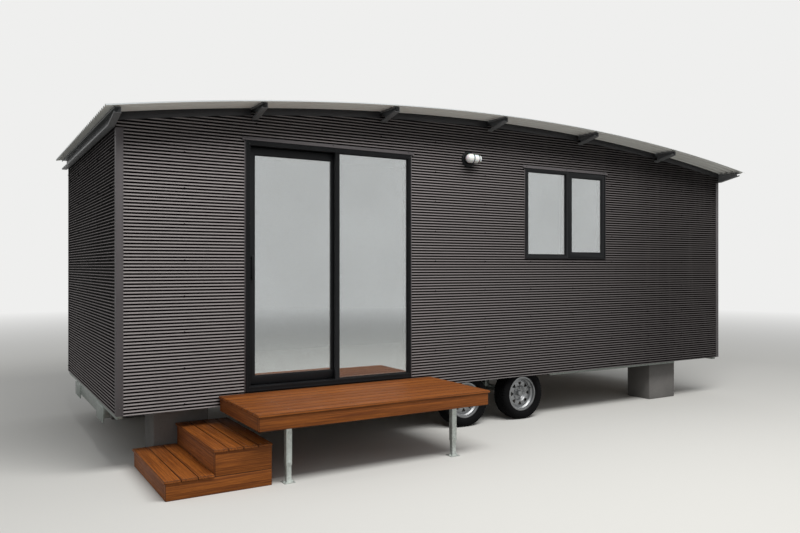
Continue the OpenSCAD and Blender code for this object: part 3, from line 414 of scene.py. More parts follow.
def modify(piece, kind, **options):
    """Adds a modifier with its options and applies it."""
    choose(piece)
    modifier = piece.modifiers.new(kind, kind)
    for option, value in options.items():
        setattr(modifier, option, value)
    bpy.ops.object.modifier_apply(modifier=modifier.name)
    return piece


def smooth(piece, angle=40):
    """Shades smooth across edges flatter than the angle."""
    choose(piece)
    bpy.ops.object.shade_smooth_by_angle(angle=math.radians(angle))
    return piece


def soften(piece, width, segments=2):
    """Rounds the sharp edges and shades the rest smooth."""
    modify(piece, "BEVEL", width=width, segments=segments, limit_method="ANGLE", angle_limit=SHARP)
    return smooth(piece)


def mesh_box(piece):
    """The lowest and highest corners of a mesh."""
    points = [vert.co for vert in piece.data.vertices]
    return Vector(map(min, zip(*points))), Vector(map(max, zip(*points)))


def copy_node(node):
    """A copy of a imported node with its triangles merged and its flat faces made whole."""
    twin = bpy.data.objects.new(node + "_copy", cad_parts[node].data.copy())
    bpy.context.scene.collection.objects.link(twin)
    choose(twin)
    bpy.ops.object.mode_set(mode="EDIT")
    bpy.ops.mesh.select_all(action="SELECT")
    bpy.ops.mesh.remove_doubles(threshold=MERGE)
    bpy.ops.mesh.dissolve_limited(angle_limit=FLAT)
    bpy.ops.object.mode_set(mode="OBJECT")
    return twin


def loose_pieces(node):
    """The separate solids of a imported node, each as a mesh of its own, from left to right."""
    choose(copy_node(node))
    bpy.ops.object.mode_set(mode="EDIT")
    bpy.ops.mesh.select_all(action="SELECT")
    bpy.ops.mesh.separate(type="LOOSE")
    bpy.ops.object.mode_set(mode="OBJECT")
    return sorted(bpy.context.selected_objects, key=lambda piece: tuple(mesh_box(piece)[0]))


def loose_boxes(node):
    """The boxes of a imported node's separate solids, from left to right."""
    pieces = loose_pieces(node)
    boxes = [mesh_box(piece) for piece in pieces]
    for mesh in [piece.data for piece in pieces]:
        bpy.data.meshes.remove(mesh)
    return boxes


def outline_of(box):
    """A box seen from the front: left, right, bottom and top."""
    low, high = box
    return low.x, high.x, low.z, high.z


def dress(piece, name, slot, look, *nodes, body=HOUSE):
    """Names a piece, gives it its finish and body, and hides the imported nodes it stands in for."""
    piece.name = name
    piece.data.name = name
    piece.data.materials.clear()
    piece.data.materials.append(finish(look))
    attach(piece, body)
    if nodes:
        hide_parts(*nodes)
    return piece


def refine(node, name, slot, look, edge, body=HOUSE):
    """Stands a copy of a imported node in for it, with its edges rounded and its curves smooth."""
    return dress(soften(copy_node(node), edge), name, slot, look, node, body=body)


def scatter(source, places, name, slot, look, *nodes):
    """Copies a part to each place and dresses them all as one piece of the house."""
    return dress(join(copy_to(source, places)), name, slot, look, *nodes)


def finish_node(node, look):
    """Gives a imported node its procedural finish."""
    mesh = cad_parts[node].data
    mesh.materials.clear()
    mesh.materials.append(finish(look))


def add_node(tree, kind, feeds=(), stops=(), **options):
    """Adds a shader node. Feeds set or link its sockets, stops fill its ramp, options set its properties."""
    node = tree.nodes.new("ShaderNode" + kind)
    for option, value in options.items():
        setattr(node, option, value)
    for socket, value in feeds.items() if isinstance(feeds, dict) else enumerate(feeds):
        if isinstance(value, bpy.types.Node):
            value = value.outputs[0]
        if isinstance(value, bpy.types.NodeSocket):
            tree.links.new(value, node.inputs[socket])
        else:
            node.inputs[socket].default_value = value
    for i, (place, shade) in enumerate(stops):
        mark = node.color_ramp.elements[i] if i < 2 else node.color_ramp.elements.new(place)
        mark.position, mark.color = place, shade
    return node


def tone(base, factor):
    """A colour made darker or lighter, with its alpha."""
    return (*[min(1.0, c * factor) for c in base], 1.0)


def patterned(tree, pattern, base, stops, gloss):
    """A coat whose colour and gloss follow one pattern. A stop holds a place and a factor on the colour."""
    stops = [(place, tone(base, factor)) for place, factor in stops]
    shades = add_node(tree, "ValToRGB", [pattern], stops=stops)
    return {"Base Color": shades, "Roughness": add_node(tree, "MapRange", [pattern, 0.3, 0.7, *gloss])}


def prepainted_steel(tree, place, paint):
    """Steel sheet with a roller coated polyester paint."""
    # Dull charcoal. The slopes of the waves that face up are painted far paler, and those that face down near
    # black: painted highlight and painted shade. Towards the far end the painted highlight is less and the
    # wall is painted darker: painted shade.
    dust = add_node(tree, "Attribute", attribute_name="dust").outputs["Fac"]
    along = add_node(tree, "SeparateXYZ", [place])
    # Painted shade: the wall darkens along X towards the far end
    far_shade = add_node(tree, "MapRange", [along, -3.4, 2.6, 0.0, 0.74])
    cloud = add_node(tree, "TexNoise", {"Vector": place, "Scale": 1.1, "Detail": 2.0})
    tall = add_node(tree, "Mapping", {"Vector": place, "Scale": (14, 14, 0.9)})
    rain = add_node(tree, "TexNoise", {"Vector": tall, "Scale": 1.0, "Detail": 3.0})
    # Painted light: near black on the slopes that face down, over four times the paint on the slopes that
    # face up
    painted_slope_light = add_node(tree, "ValToRGB", [dust],
                     stops=[(0.4, tone(paint, 0.05)), (0.56, tone(paint, 0.45)), (0.68, tone(paint, 4.4))])
    far_shaded = add_node(tree, "Mix", {0: far_shade, 6: painted_slope_light, 7: tone(paint, 0.1)}, data_type="RGBA").outputs[2]
    streak = add_node(tree, "MapRange", [rain, 0.5, 0.85, 0.0, 0.3])
    washed = add_node(tree, "Mix", {0: streak, 6: far_shaded, 7: tone(paint, 1.2)}, data_type="RGBA").outputs[2]
    gloss = add_node(tree, "MapRange", [cloud, 0.3, 0.7, 0.5, 0.6])
    return {"Base Color": washed, "Roughness": gloss, "IOR": 1.02}


def satin_trim_paint(tree, place, paint):
    """Folded steel with a flat polyester paint."""
    # Duller than the sheets, so that corners and flashings read as even dark bands; dust pales it in places.
    cloud = add_node(tree, "TexNoise", {"Vector": place, "Scale": 2.4, "Detail": 4.0})
    return {**patterned(tree, cloud, paint, [(0.3, 0.86), (0.7, 1.16)], (0.42, 0.6)), "IOR": 1.4}


def zinc_aluminium_sheet(tree, place, metal, backing):
    """Roof sheet hot dipped in zinc and aluminium, then roll formed."""
    # Soft metal sheen on top; the underside's backing coat is a real coat made paler as painted light from
    # below; the spangle is under 2 mm, drawn at 10 mm so that it shows.
    under = add_node(tree, "Attribute", attribute_name="underside").outputs["Fac"]
    spangle = add_node(tree, "TexVoronoi", {"Vector": place, "Scale": 100.0}).outputs["Color"]
    flake = add_node(tree, "SeparateColor", [spangle])
    cloud = add_node(tree, "TexNoise", {"Vector": place, "Scale": 0.9, "Detail": 3.0})
    base = add_node(tree, "ValToRGB", [cloud], stops=[(0.3, tone(metal, 0.88)), (0.7, tone(metal, 1.04))])
    share = add_node(tree, "MapRange", [flake, 0.0, 1.0, 0.0, 0.22])
    spangled = add_node(tree, "Mix", {0: share, 6: base, 7: tone(metal, 0.72)}, data_type="RGBA").outputs[2]
    # The underside shows the pale backing: a real coat, made paler as painted light from below
    seen = add_node(tree, "Mix", {0: under, 6: spangled, 7: (*backing, 1)}, data_type="RGBA").outputs[2]
    gloss = add_node(tree, "MapRange", [flake, 0.0, 1.0, 0.34, 0.5])
    metallic = add_node(tree, "MapRange", [under, 0.0, 1.0, 0.55, 0.0])
    return {"Base Color": seen, "Roughness": gloss, "Metallic": metallic}


def galvanised_steel(tree, place, metal):
    """Rolled steel, hot dip galvanised."""
    # Spangle of about 15 mm that catches the light, dulled in patches by white rust.
    spangle = add_node(tree, "TexVoronoi", {"Vector": place, "Scale": 66.0}).outputs["Color"]
    flake = add_node(tree, "SeparateColor", [spangle])
    patch = add_node(tree, "TexNoise", {"Vector": place, "Scale": 6.0, "Detail": 4.0})
    base = add_node(tree, "ValToRGB", [flake], stops=[(0.1, tone(metal, 0.84)), (0.9, tone(metal, 1.08))])
    rust = add_node(tree, "MapRange", [patch, 0.5, 0.72, 0.0, 0.6])
    dulled = add_node(tree, "Mix", {0: rust, 6: base, 7: tone(metal, 1.25)}, data_type="RGBA").outputs[2]
    gloss = add_node(tree, "MapRange", [patch, 0.35, 0.7, 0.38, 0.62])
    relief = add_node(tree, "Bump", {"Height": flake, "Distance": 0.00015})
    return {"Base Color": dulled, "Roughness": gloss, "Normal": relief, "Metallic": 0.6}


def powder_coat(tree, place, paint):
    """Extruded aluminium with a baked powder coat."""
    # Deep satin colour with fine orange peel, drawn at 2 mm.
    peel = add_node(tree, "TexNoise", {"Vector": place, "Scale": 480.0, "Detail": 2.0})
    cloud = add_node(tree, "TexNoise", {"Vector": place, "Scale": 4.0, "Detail": 3.0})
    coat = patterned(tree, cloud, paint, [(0.3, 0.88), (0.7, 1.15)], (0.32, 0.44))
    return {**coat, "Normal": add_node(tree, "Bump", {"Height": peel, "Distance": 0.00012}), "IOR": 1.22}


def float_glass(tree, place, tint):
    """Float glass with a hard reflecting coat, as double glazing has."""
    # Clear and flat; it mirrors what stands before it more than plain glass does.
    wave = add_node(tree, "TexNoise", {"Vector": place, "Scale": 1.3, "Detail": 1.0})
    coat = patterned(tree, wave, tint, [(0.3, 0.9), (0.7, 1.0)], (0.0, 0.012))
    return {**coat, "IOR": 3.4, "Transmission Weight": 1.0}


def cast_concrete(tree, place, cement):
    """Concrete cast in a steel mould."""
    # Grey cement skin with clouds, sand grain of 4 mm and small air holes; the holes are only a bump, painted
    # dark as painted shade.
    cloud = add_node(tree, "TexNoise", {"Vector": place, "Scale": 3.5, "Detail": 5.0})
    grain = add_node(tree, "TexNoise", {"Vector": place, "Scale": 260.0, "Detail": 3.0, "Roughness": 0.7})
    cells = add_node(tree, "TexVoronoi", {"Vector": place, "Scale": 38.0}).outputs["Distance"]
    hole = add_node(tree, "MapRange", [cells, 0.06, 0.12, 0.0, 1.0])
    base = add_node(tree, "ValToRGB", [cloud], stops=[(0.35, tone(cement, 0.78)), (0.68, tone(cement, 1.1))])
    sand = add_node(tree, "MapRange", [grain, 0.4, 0.65, 0.0, 0.4])
    sandy = add_node(tree, "Mix", {0: sand, 6: base, 7: tone(cement, 0.62)}, data_type="RGBA").outputs[2]
    # Painted shade: the air holes darken to about a third of the cement
    hole_shaded = add_node(tree, "Mix", {0: hole, 6: tone(cement, 0.35), 7: sandy}, data_type="RGBA").outputs[2]
    gloss = add_node(tree, "MapRange", [cloud, 0.3, 0.7, 0.8, 0.95])
    height = add_node(tree, "Math", [grain, hole], operation="ADD")
    relief = add_node(tree, "Bump", {"Height": height, "Distance": 0.0012})
    return {"Base Color": hole_shaded, "Roughness": gloss, "Normal": relief, "IOR": 1.5}


def oiled_hardwood(tree, place, light, dark):
    """Red hardwood decking, planed and oiled."""
    # Warm orange brown: straight grain about 10 mm wide along each board, pores, and a tone for each board.
    # The rounded edges are painted dark, which draws each board: painted shade where the boards meet.
    board = add_node(tree, "Attribute", attribute_name="board").outputs["Fac"]
    edge = add_node(tree, "Attribute", attribute_name="edge").outputs["Fac"]
    grain = add_node(tree, "Attribute", attribute_name="grain").outputs["Vector"]
    own = add_node(tree, "CombineXYZ", [board, board, board])
    moved = add_node(tree, "VectorMath", [own, (37, 37, 37), place], operation="MULTIPLY_ADD")
    # The figure has 90 waves a metre across the grain and 1.4 along it, the pores have 300 and 8
    wide = add_node(tree, "VectorMath", [grain, [1.4 - 90] * 3, [90] * 3], operation="MULTIPLY_ADD")
    fine = add_node(tree, "VectorMath", [grain, [8 - 300] * 3, [300] * 3], operation="MULTIPLY_ADD")
    along = add_node(tree, "VectorMath", [moved, wide], operation="MULTIPLY")
    close = add_node(tree, "VectorMath", [moved, fine], operation="MULTIPLY")
    figure = add_node(tree, "TexNoise", {"Vector": along, "Scale": 1.0, "Detail": 4.0, "Distortion": 0.6})
    pore = add_node(tree, "TexNoise", {"Vector": close, "Scale": 1.0, "Detail": 3.0, "Roughness": 0.7})
    base = add_node(tree, "ValToRGB", [figure], stops=[(0.34, (*dark, 1)), (0.6, (*light, 1))])
    pores = add_node(tree, "MapRange", [pore, 0.4, 0.6, 0.5, 0.0])
    pored = add_node(tree, "Mix", {0: pores, 6: base, 7: tone(dark, 0.45)}, data_type="RGBA").outputs[2]
    weight = add_node(tree, "MapRange", [board, 0.0, 1.0, 0.0, 0.55])
    toned = add_node(tree, "Mix", {0: weight, 6: pored, 7: tone(dark, 0.8)}, data_type="RGBA").outputs[2]
    # Painted shade on the rounded edges
    rim = add_node(tree, "Math", [edge, 0.85], operation="MULTIPLY")
    edge_shaded = add_node(tree, "Mix", {0: rim, 6: toned, 7: tone(dark, 0.2)}, data_type="RGBA").outputs[2]
    gloss = add_node(tree, "MapRange", [pore, 0.3, 0.7, 0.7, 0.5])
    relief = add_node(tree, "Bump", {"Height": pore, "Distance": 0.0005})
    return {"Base Color": edge_shaded, "Roughness": gloss, "Normal": relief, "IOR": 1.33}


def sealed_plywood(tree, place, veneer):
    """Rotary cut plywood, sanded and sealed."""
    # Broad figure that runs along the house.
    wide = add_node(tree, "Mapping", {"Vector": place, "Scale": (1.2, 9, 9)})
    figure = add_node(tree, "TexNoise", {"Vector": wide, "Scale": 1.0, "Detail": 5.0, "Roughness": 0.6})
    return {**patterned(tree, figure, veneer, [(0.35, 0.75), (0.65, 1.15)], (0.35, 0.5)), "IOR": 1.5}


def painted_lining(tree, place, paint):
    """Lining board with rolled acrylic paint."""
    # Nearly even, with the roller's stipple drawn at 4 mm.
    stipple = add_node(tree, "TexNoise", {"Vector": place, "Scale": 250.0, "Detail": 2.0})
    cloud = add_node(tree, "TexNoise", {"Vector": place, "Scale": 1.5, "Detail": 2.0})
    coat = patterned(tree, cloud, paint, [(0.3, 0.96), (0.7, 1.02)], (0.55, 0.65))
    return {**coat, "Normal": add_node(tree, "Bump", {"Height": stipple, "Distance": 0.0003}), "IOR": 1.5}


def tyre_rubber(tree, place, black):
    """Tyre rubber, vulcanised in a mould."""
    # Dull black, greyed in patches by road dust.
    dust = add_node(tree, "TexNoise", {"Vector": place, "Scale": 9.0, "Detail": 5.0, "Roughness": 0.65})
    grain = add_node(tree, "TexNoise", {"Vector": place, "Scale": 350.0, "Detail": 2.0})
    coat = patterned(tree, dust, black, [(0.4, 1.0), (0.72, 1.8)], (0.7, 0.9))
    return {**coat, "Normal": add_node(tree, "Bump", {"Height": grain, "Distance": 0.0003}), "IOR": 1.15}


def glazing_rubber(tree, place, black):
    """Extruded glazing rubber."""
    # Soft black with a low sheen.
    grain = add_node(tree, "TexNoise", {"Vector": place, "Scale": 400.0, "Detail": 2.0})
    return {**patterned(tree, grain, black, [(0.3, 0.6), (0.7, 1.0)], (0.6, 0.75)), "IOR": 1.5}


def silver_enamel(tree, place, silver):
    """Pressed steel sprayed with silver wheel enamel."""
    # Metal flake under a light gloss, dusty in patches.
    dust = add_node(tree, "TexNoise", {"Vector": place, "Scale": 14.0, "Detail": 4.0})
    coat = patterned(tree, dust, silver, [(0.45, 1.0), (0.75, 0.75)], (0.3, 0.45))
    return {**coat, "Metallic": 0.7, "Coat Weight": 0.3}


def opal_glass(tree, place, white):
    """Opal glass and stoved white enamel."""
    # Smooth, glossy and a little deep.
    cloud = add_node(tree, "TexNoise", {"Vector": place, "Scale": 30.0, "Detail": 2.0})
    coat = patterned(tree, cloud, white, [(0.3, 0.95), (0.7, 1.0)], (0.22, 0.3))
    return {**coat, "IOR": 1.5, "Coat Weight": 0.4, "Subsurface Weight": 0.12, "Subsurface Scale": 0.01}


def bare_metal(tree, place, metal):
    """Stainless steel, cold headed and tumbled, or aluminium as it leaves the mill."""
    # Bright metal with fine scratches.
    scratch = add_node(tree, "TexNoise", {"Vector": place, "Scale": 900.0, "Detail": 2.0})
    return {**patterned(tree, scratch, metal, [(0.4, 0.85), (0.6, 1.0)], (0.25, 0.4)), "Metallic": 1.0}


# Each finish: its name, how it is drawn, and the settings that colour it
LOOKS = {
    "cladding": ("prepainted_cladding_steel", prepainted_steel, "cladding"),
    "trim": ("satin_trim_steel", satin_trim_paint, "trim"),
    "capping": ("satin_capping_steel", satin_trim_paint, "capping"),
    "purlin": ("satin_purlin_steel", satin_trim_paint, "purlin"),
    "aluminium": ("black_powder_coat", powder_coat, "aluminium"),
    "roof": ("zinc_aluminium_roof_steel", zinc_aluminium_sheet, "roof", "backing"),
    "zinc": ("hot_dip_galvanised_steel", galvanised_steel, "zinc"),
    # The chassis' zinc is drawn darker: painted shade under the floor
    "chassis": ("weathered_galvanised_steel", galvanised_steel, "chassis"),
    "concrete": ("cast_concrete", cast_concrete, "concrete"),
    "timber": ("oiled_hardwood", oiled_hardwood, "timber_light", "timber_dark"),
    "plywood": ("sealed_plywood", sealed_plywood, "plywood"),
    "lining": ("painted_lining", painted_lining, "lining"),
    "rubber": ("tyre_rubber", tyre_rubber, "rubber"),
    "gasket": ("glazing_rubber", glazing_rubber, "rubber"),
    "rim": ("silver_wheel_enamel", silver_enamel, "rim"),
    "lamp": ("opal_glass_and_enamel", opal_glass, "lamp"),
    "stainless": ("stainless_steel", bare_metal, "stainless"),
    "spacer": ("mill_finish_aluminium", bare_metal, "spacer"),
    "glass": ("coated_float_glass", float_glass, "glass"),
}
FINISHES = {}


def finish(look):
    """The material of that name, made when it is first asked for."""
    if look not in FINISHES:
        title, draw, *tints = LOOKS[look]
        material = bpy.data.materials.new(title)
        material.use_nodes = True
        tree = material.node_tree
        tree.nodes.clear()
        place = add_node(tree, "TexCoord").outputs["Object"]
        feeds = draw(tree, place, *[getattr(settings("house_finish"), tint) for tint in tints])
        shader = add_node(tree, "BsdfPrincipled", feeds)
        add_node(tree, "OutputMaterial", [shader])
        FINISHES[look] = material
    return FINISHES[look]


def roof_arc():
    """The radius of the roof sheet's outer arc and the height of its axis, worked out from its box."""
    low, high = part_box("roof_sheet")
    sheet = settings("house_sheet_metal")
    depth = sheet.roof_depth + sheet.roof_sheet
    slope = 0.0
    # The radius and the slope at the arc's ends depend on each other, so each round brings both closer
    for _ in range(6):
        rise = high.z - low.z - depth * math.cos(slope)
        radius = (high.x * high.x + rise * rise) / (2 * rise)
        slope = math.asin(high.x / radius)
    return radius, high.z - radius


def corrugated_wall(columns, low_z, high_z, reach, holes, painted_slope_light=1.0):
    """A corrugated sheet that faces -Y, its crests at y 0. It stops at the roof; its last argument scales its
    painted light.
    """
    sheet = settings("house_sheet_metal")
    rows = math.ceil((high_z - low_z) / sheet.wall_pitch * WALL_STEPS)
    crest = low_z - sheet.wall_pitch * WALL_PHASE
    deselect()
    bpy.ops.mesh.primitive_grid_add(x_subdivisions=len(columns) - 1, y_subdivisions=rows, size=1)
    piece = bpy.context.object
    # Each point's value follows the slope of its wave; the paint turns it into painted highlight where the
    # slope faces up and painted shade where it faces down
    dust = piece.data.attributes.new("dust", "FLOAT", "POINT").data
    for vert in piece.data.vertices:
        column = round((vert.co.x + 0.5) * (len(columns) - 1))
        z = low_z + (vert.co.y + 0.5) * (high_z - low_z)
        turn = 2 * math.pi * (z - crest) / sheet.wall_pitch
        limit = reach(z)
        vert.co = (max(-limit, min(limit, columns[column])), sheet.wall_depth / 2 * (1 - math.cos(turn)), z)
        dust[vert.index].value = painted_slope_light * (1 + math.sin(turn)) / 2
    bpy.ops.object.mode_set(mode="EDIT")
    bpy.ops.mesh.select_all(action="SELECT")
    bpy.ops.mesh.remove_doubles(threshold=MERGE)
    bpy.ops.mesh.select_all(action="DESELECT")
    bpy.ops.mesh.select_mode(type="FACE")
    shape = bmesh.from_edit_mesh(piece.data)
    for face in shape.faces:
        middle = face.calc_center_median()
        face.select = any(x0 < middle.x < x1 and z0 < middle.z < z1 for x0, x1, z0, z1 in holes)
    bmesh.update_edit_mesh(piece.data)
    bpy.ops.mesh.delete(type="FACE")
    bpy.ops.mesh.select_mode(type="VERT")
    bpy.ops.object.mode_set(mode="OBJECT")
    modify(piece, "SOLIDIFY", thickness=sheet.wall_sheet, offset=-1)
    return smooth(piece, SHEET_ANGLE)


def hex_screw():
    """A hexagon head screw with its washer, its seat at y 0 and its head towards -Y."""
    sheet = settings("house_sheet_metal")
    washer, head, flat = sheet.washer, sheet.washer * 0.62, sheet.washer * 0.45
    return turned([(washer, 0.0), (washer, -sheet.washer_rim), (washer * 0.8, -sheet.washer_top),
                   (head, -sheet.washer_top), (head, -sheet.head_edge), (flat, -sheet.head_top)], 6)


class TINYHOUSE_OT_wall_sheets(Operator):
    """Builds the corrugated sheets of the four walls"""

    bl_idname = "tinyhouse.wall_sheets"
    bl_label = "Wall Sheets"

    def execute(self, context):
        low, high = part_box("front_cladding")
        _, back_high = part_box("back_cladding")
        end_low, end_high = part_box("end_cladding")
        _, axis_z = roof_arc()
        arc = high.z - axis_z
        door, window = (outline_of(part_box(node)) for node in ("door_frame", "window_frame"))

        def reach(z):
            """Half the sheet's length at a height."""
            return min(high.x, math.sqrt(max(arc * arc - (z - axis_z) ** 2, 0.0)))

        columns = [-high.x, door[0], door[1], window[0], window[1], high.x]
        front = corrugated_wall(columns, low.z, high.z, reach, [door, window])
        front.data.transform(shift(0, low.y, 0))
        dress(front, "wall_sheets_front", "wall_cladding", "cladding", "front_cladding")
        back = corrugated_wall([-high.x, 0, high.x], low.z, high.z, reach, [])
        back.data.transform(shift(0, back_high.y, 0) @ ABOUT_FACE)
        dress(back, "wall_sheets_back", "wall_cladding", "cladding", "back_cladding")
        middle = (end_low.y + end_high.y) / 2
        side = end_high.y - middle
        # The sheltered end walls get less of the painted highlight: painted shade
        painted_slope_light = settings("house_sheet_metal").end_painted_light
        ends = []
        for sign in (-1, 1):
            end = corrugated_wall([-side, side], end_low.z, end_high.z, lambda z: side, [], painted_slope_light)
            end.data.transform(shift(sign * end_high.x, middle, 0) @ quarter_turn("Z", sign))
            ends.append(end)
        dress(join(ends), "wall_sheets_ends", "wall_cladding", "cladding", "end_cladding")
        return {"FINISHED"}


class TINYHOUSE_OT_wall_screws(Operator):
    """Drives rows of screws through the wall sheets' crests into the studs"""

    bl_idname = "tinyhouse.wall_screws"
    bl_label = "Wall Screws"

    def execute(self, context):
        sheet = settings("house_sheet_metal")
        low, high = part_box("front_cladding")
        _, back_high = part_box("back_cladding")
        end_low, end_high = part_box("end_cladding")
        _, axis_z = roof_arc()
        arc = high.z - axis_z
        holes = [outline_of(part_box(node)) for node in ("door_frame", "window_frame")]
        gap = sheet.screw_gap
        crest = low.z - sheet.wall_pitch * WALL_PHASE
        crests = int((high.z - crest) / sheet.wall_pitch)
        levels = [crest + sheet.wall_pitch * n for n in range(sheet.first_row, crests, sheet.screw_rows)]
        places = []
        for n in range(math.ceil((high.x - low.x - sheet.stud_start) / sheet.stud_pitch)):
            x = low.x + sheet.stud_start + n * sheet.stud_pitch
            for z in levels:
                if z - axis_z > math.sqrt(arc * arc - x * x) - gap:
                    continue
                places.append(shift(-x, back_high.y, z) @ ABOUT_FACE)
                if not any(x0 - gap < x < x1 + gap and z0 < z < z1 + gap for x0, x1, z0, z1 in holes):
                    places.append(shift(x, low.y, z))
        middle = (end_low.y + end_high.y) / 2
        for n in range(-sheet.end_studs, sheet.end_studs + 1):
            for z in levels:
                if z < end_high.z - gap:
                    for sign in (-1, 1):
                        places.append(shift(sign * end_high.x, middle + n * sheet.stud_pitch, z)
                                      @ quarter_turn("Z", sign))
        scatter(hex_screw(), places, "wall_screws", "wall_cladding", "cladding")
        return {"FINISHED"}


class TINYHOUSE_OT_corner_trims(Operator):
    """Folds the corner trims and screws them on"""

    bl_idname = "tinyhouse.corner_trims"
    bl_label = "Corner Trims"

    def execute(self, context):
        sheet = settings("house_sheet_metal")
        low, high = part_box("cladding_trims")
        leg, thick, hem = sheet.trim_leg, sheet.trim_sheet, sheet.hem
        section = [(leg, thick), (leg, -thick), (leg - hem, -thick), (leg - hem, 0), (0, 0), (0, leg - hem),
                   (-thick, leg - hem), (-thick, leg), (thick, leg), (thick, thick)]
        corner = loft([[Vector((x, y, z)) for x, y in section] for z in (low.z, high.z)])
        # The folded sheet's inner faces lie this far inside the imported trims' outer ones
        seat = thick * 0.6
        corner.data.transform(shift(low.x + seat, low.y + seat, 0))
        soften(corner, sheet.fold)
        x, y, _ = (low + high) / 2
        mirrors = [shift(x, y, 0) @ Matrix.Diagonal((a, b, 1, 1)) @ shift(-x, -y, 0)
                   for a, b in ((1, 1), (-1, 1), (1, -1), (-1, -1))]
        scatter(corner, mirrors, "corner_trims", "dark_trim", "trim", "cladding_trims")
        run = high.z - low.z - 2 * sheet.trim_margin
        count = int(run / sheet.trim_screws)
        places = []
        for n in range(count + 1):
            z = low.z + sheet.trim_margin + n * run / count
            places.append(shift(low.x + leg / 2, low.y + seat, z))
            places.append(shift(low.x + seat, low.y + leg / 2, z) @ quarter_turn("Z"))
        places = [mirror @ place for mirror in mirrors for place in places]
        scatter(hex_screw(), places, "corner_screws", "dark_trim", "trim")
        return {"FINISHED"}


class TINYHOUSE_OT_flashings(Operator):
    """Folds the head flashings and the side trims of the door and the window, and the eave capping"""

    bl_idname = "tinyhouse.flashings"
    bl_label = "Flashings"

    def execute(self, context):
        sheet = settings("house_sheet_metal")
        refine("opening_flashings", "opening_flashings_folded", "dark_trim", "trim", sheet.fold)
        refine("eave_capping", "eave_capping_folded", "dark_trim", "capping", sheet.fold)
        places = []
        for low, high in loose_boxes("opening_flashings"):
            # Only a head flashing is wider than it is high
            if high.x - low.x > high.z - low.z:
                run = high.x - low.x - 2 * sheet.flashing_margin
                count = math.ceil((high.x - low.x) / sheet.trim_screws)
                places += [shift(low.x + sheet.flashing_margin + n * run / count, high.y - sheet.trim_sheet,
                                 high.z - sheet.hem) for n in range(count + 1)]
        scatter(hex_screw(), places, "flashing_screws", "dark_trim", "trim")
        return {"FINISHED"}


class TINYHOUSE_OT_roof(Operator):
    """Builds the arched roof sheet with its screws, and the purlins under it"""

    bl_idname = "tinyhouse.roof"
    bl_label = "Roof"

    def execute(self, context):
        sheet = settings("house_sheet_metal")
        low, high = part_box("roof_sheet")
        radius, axis_z = roof_arc()
        slope = math.asin(high.x / radius)
        rows = round((high.y - low.y) / sheet.roof_pitch * ROOF_STEPS)
        crest = low.y + sheet.roof_pitch * ROOF_PHASE
        deselect()
        bpy.ops.mesh.primitive_grid_add(x_subdivisions=ARC_STEPS, y_subdivisions=rows, size=1)
        roof = bpy.context.object
        for vert in roof.data.vertices:
            angle = slope * 2 * vert.co.x
            y = low.y + (vert.co.y + 0.5) * (high.y - low.y)
            r = radius - sheet.roof_depth / 2 * (1 - math.cos(2 * math.pi * (y - crest) / sheet.roof_pitch))
            vert.co = (r * math.sin(angle), y, axis_z + r * math.cos(angle))
        modify(roof, "SOLIDIFY", thickness=sheet.roof_sheet, offset=-1)
        smooth(roof, SHEET_ANGLE)
        under = [float(face.normal.z < 0) for face in roof.data.polygons]
        roof.data.attributes.new("underside", "FLOAT", "FACE").data.foreach_set("value", under)
        dress(roof, "roof_sheet_arched", "roof_steel", "roof", "roof_sheet")
        places = []
        for purlin_low, purlin_high in loose_boxes("roof_purlins"):
            x = (purlin_low.x + purlin_high.x) / 2
            top = axis_z + math.sqrt(radius * radius - x * x)
            seat = shift(x, 0, top) @ Matrix.Rotation(x / radius, 4, "Y") @ quarter_turn("X")
            for n in range(1, int((high.y - crest) / sheet.roof_pitch), sheet.roof_rows):
                places.append(shift(0, crest + n * sheet.roof_pitch, 0) @ seat)
        scatter(hex_screw(), places, "roof_screws", "roof_steel", "zinc")
        refine("roof_purlins", "roof_purlins_painted", "dark_trim", "purlin", sheet.fold)
        return {"FINISHED"}


def glaze(name, node, beads, body=HOUSE):
    """Stands double glazed units in for a packed glass node, each with its spacer and its rubber strip."""
    sizes = settings("house_glazing")
    gasket, cover = sizes.gasket, sizes.gasket / 8
    panes, spacers, strips = [], [], []
    for (low, high), bead in zip(loose_boxes(node), beads):
        outline = outline_of((low, high))
        near, far = low.y + sizes.pane, high.y - sizes.pane
        panes += [add_block(low, (high.x, near, high.z)), add_block((low.x, far, low.z), high)]
        spacers.append(mitred(outline, inset(outline, bead + sizes.spacer),
                              [(0, near + HAIR), (1, near + HAIR), (1, far - HAIR), (0, far - HAIR)]))
        strip = inset(outline, bead - cover)
        strips.append(mitred(strip, inset(strip, gasket + cover),
                             [(0, low.y), (0, low.y - gasket / 2), (0.5, low.y - gasket * 0.75),
                              (1, low.y - gasket / 4), (1, low.y)]))
    dress(soften(join(panes), sizes.glass_edge, 1), name + "_panes", "glass", "glass", node, body=body)
    dress(join(spacers), name + "_spacers", "glass", "spacer", body=body)
    dress(join(strips), name + "_gaskets", "glass", "gasket", body=body)


def frame_ridges(outline, y):
    """Three fine ridges along a frame's face, mitred at its corners."""
    sizes = settings("house_glazing")
    x0, x1, z0, z1 = outline
    inner = (x0 + sizes.jamb, x1 - sizes.fixed_jamb, z0 + sizes.jamb, z1 - sizes.jamb)
    sunk, foot, top = y + SUNK, y - 2 * HAIR, y - sizes.ridge
    # Half of a ridge's width at its foot and at its top, as shares of the way across the face
    wide, narrow = 0.09, 0.05
    profile = [(0, sunk)]
    for middle in (0.2, 0.5, 0.8):
        profile += [(middle - wide, foot), (middle - narrow, top),
                    (middle + narrow, top), (middle + wide, foot)]
    return mitred(inset(outline, sizes.ridge_in), inner, [*profile, (1, sunk)])


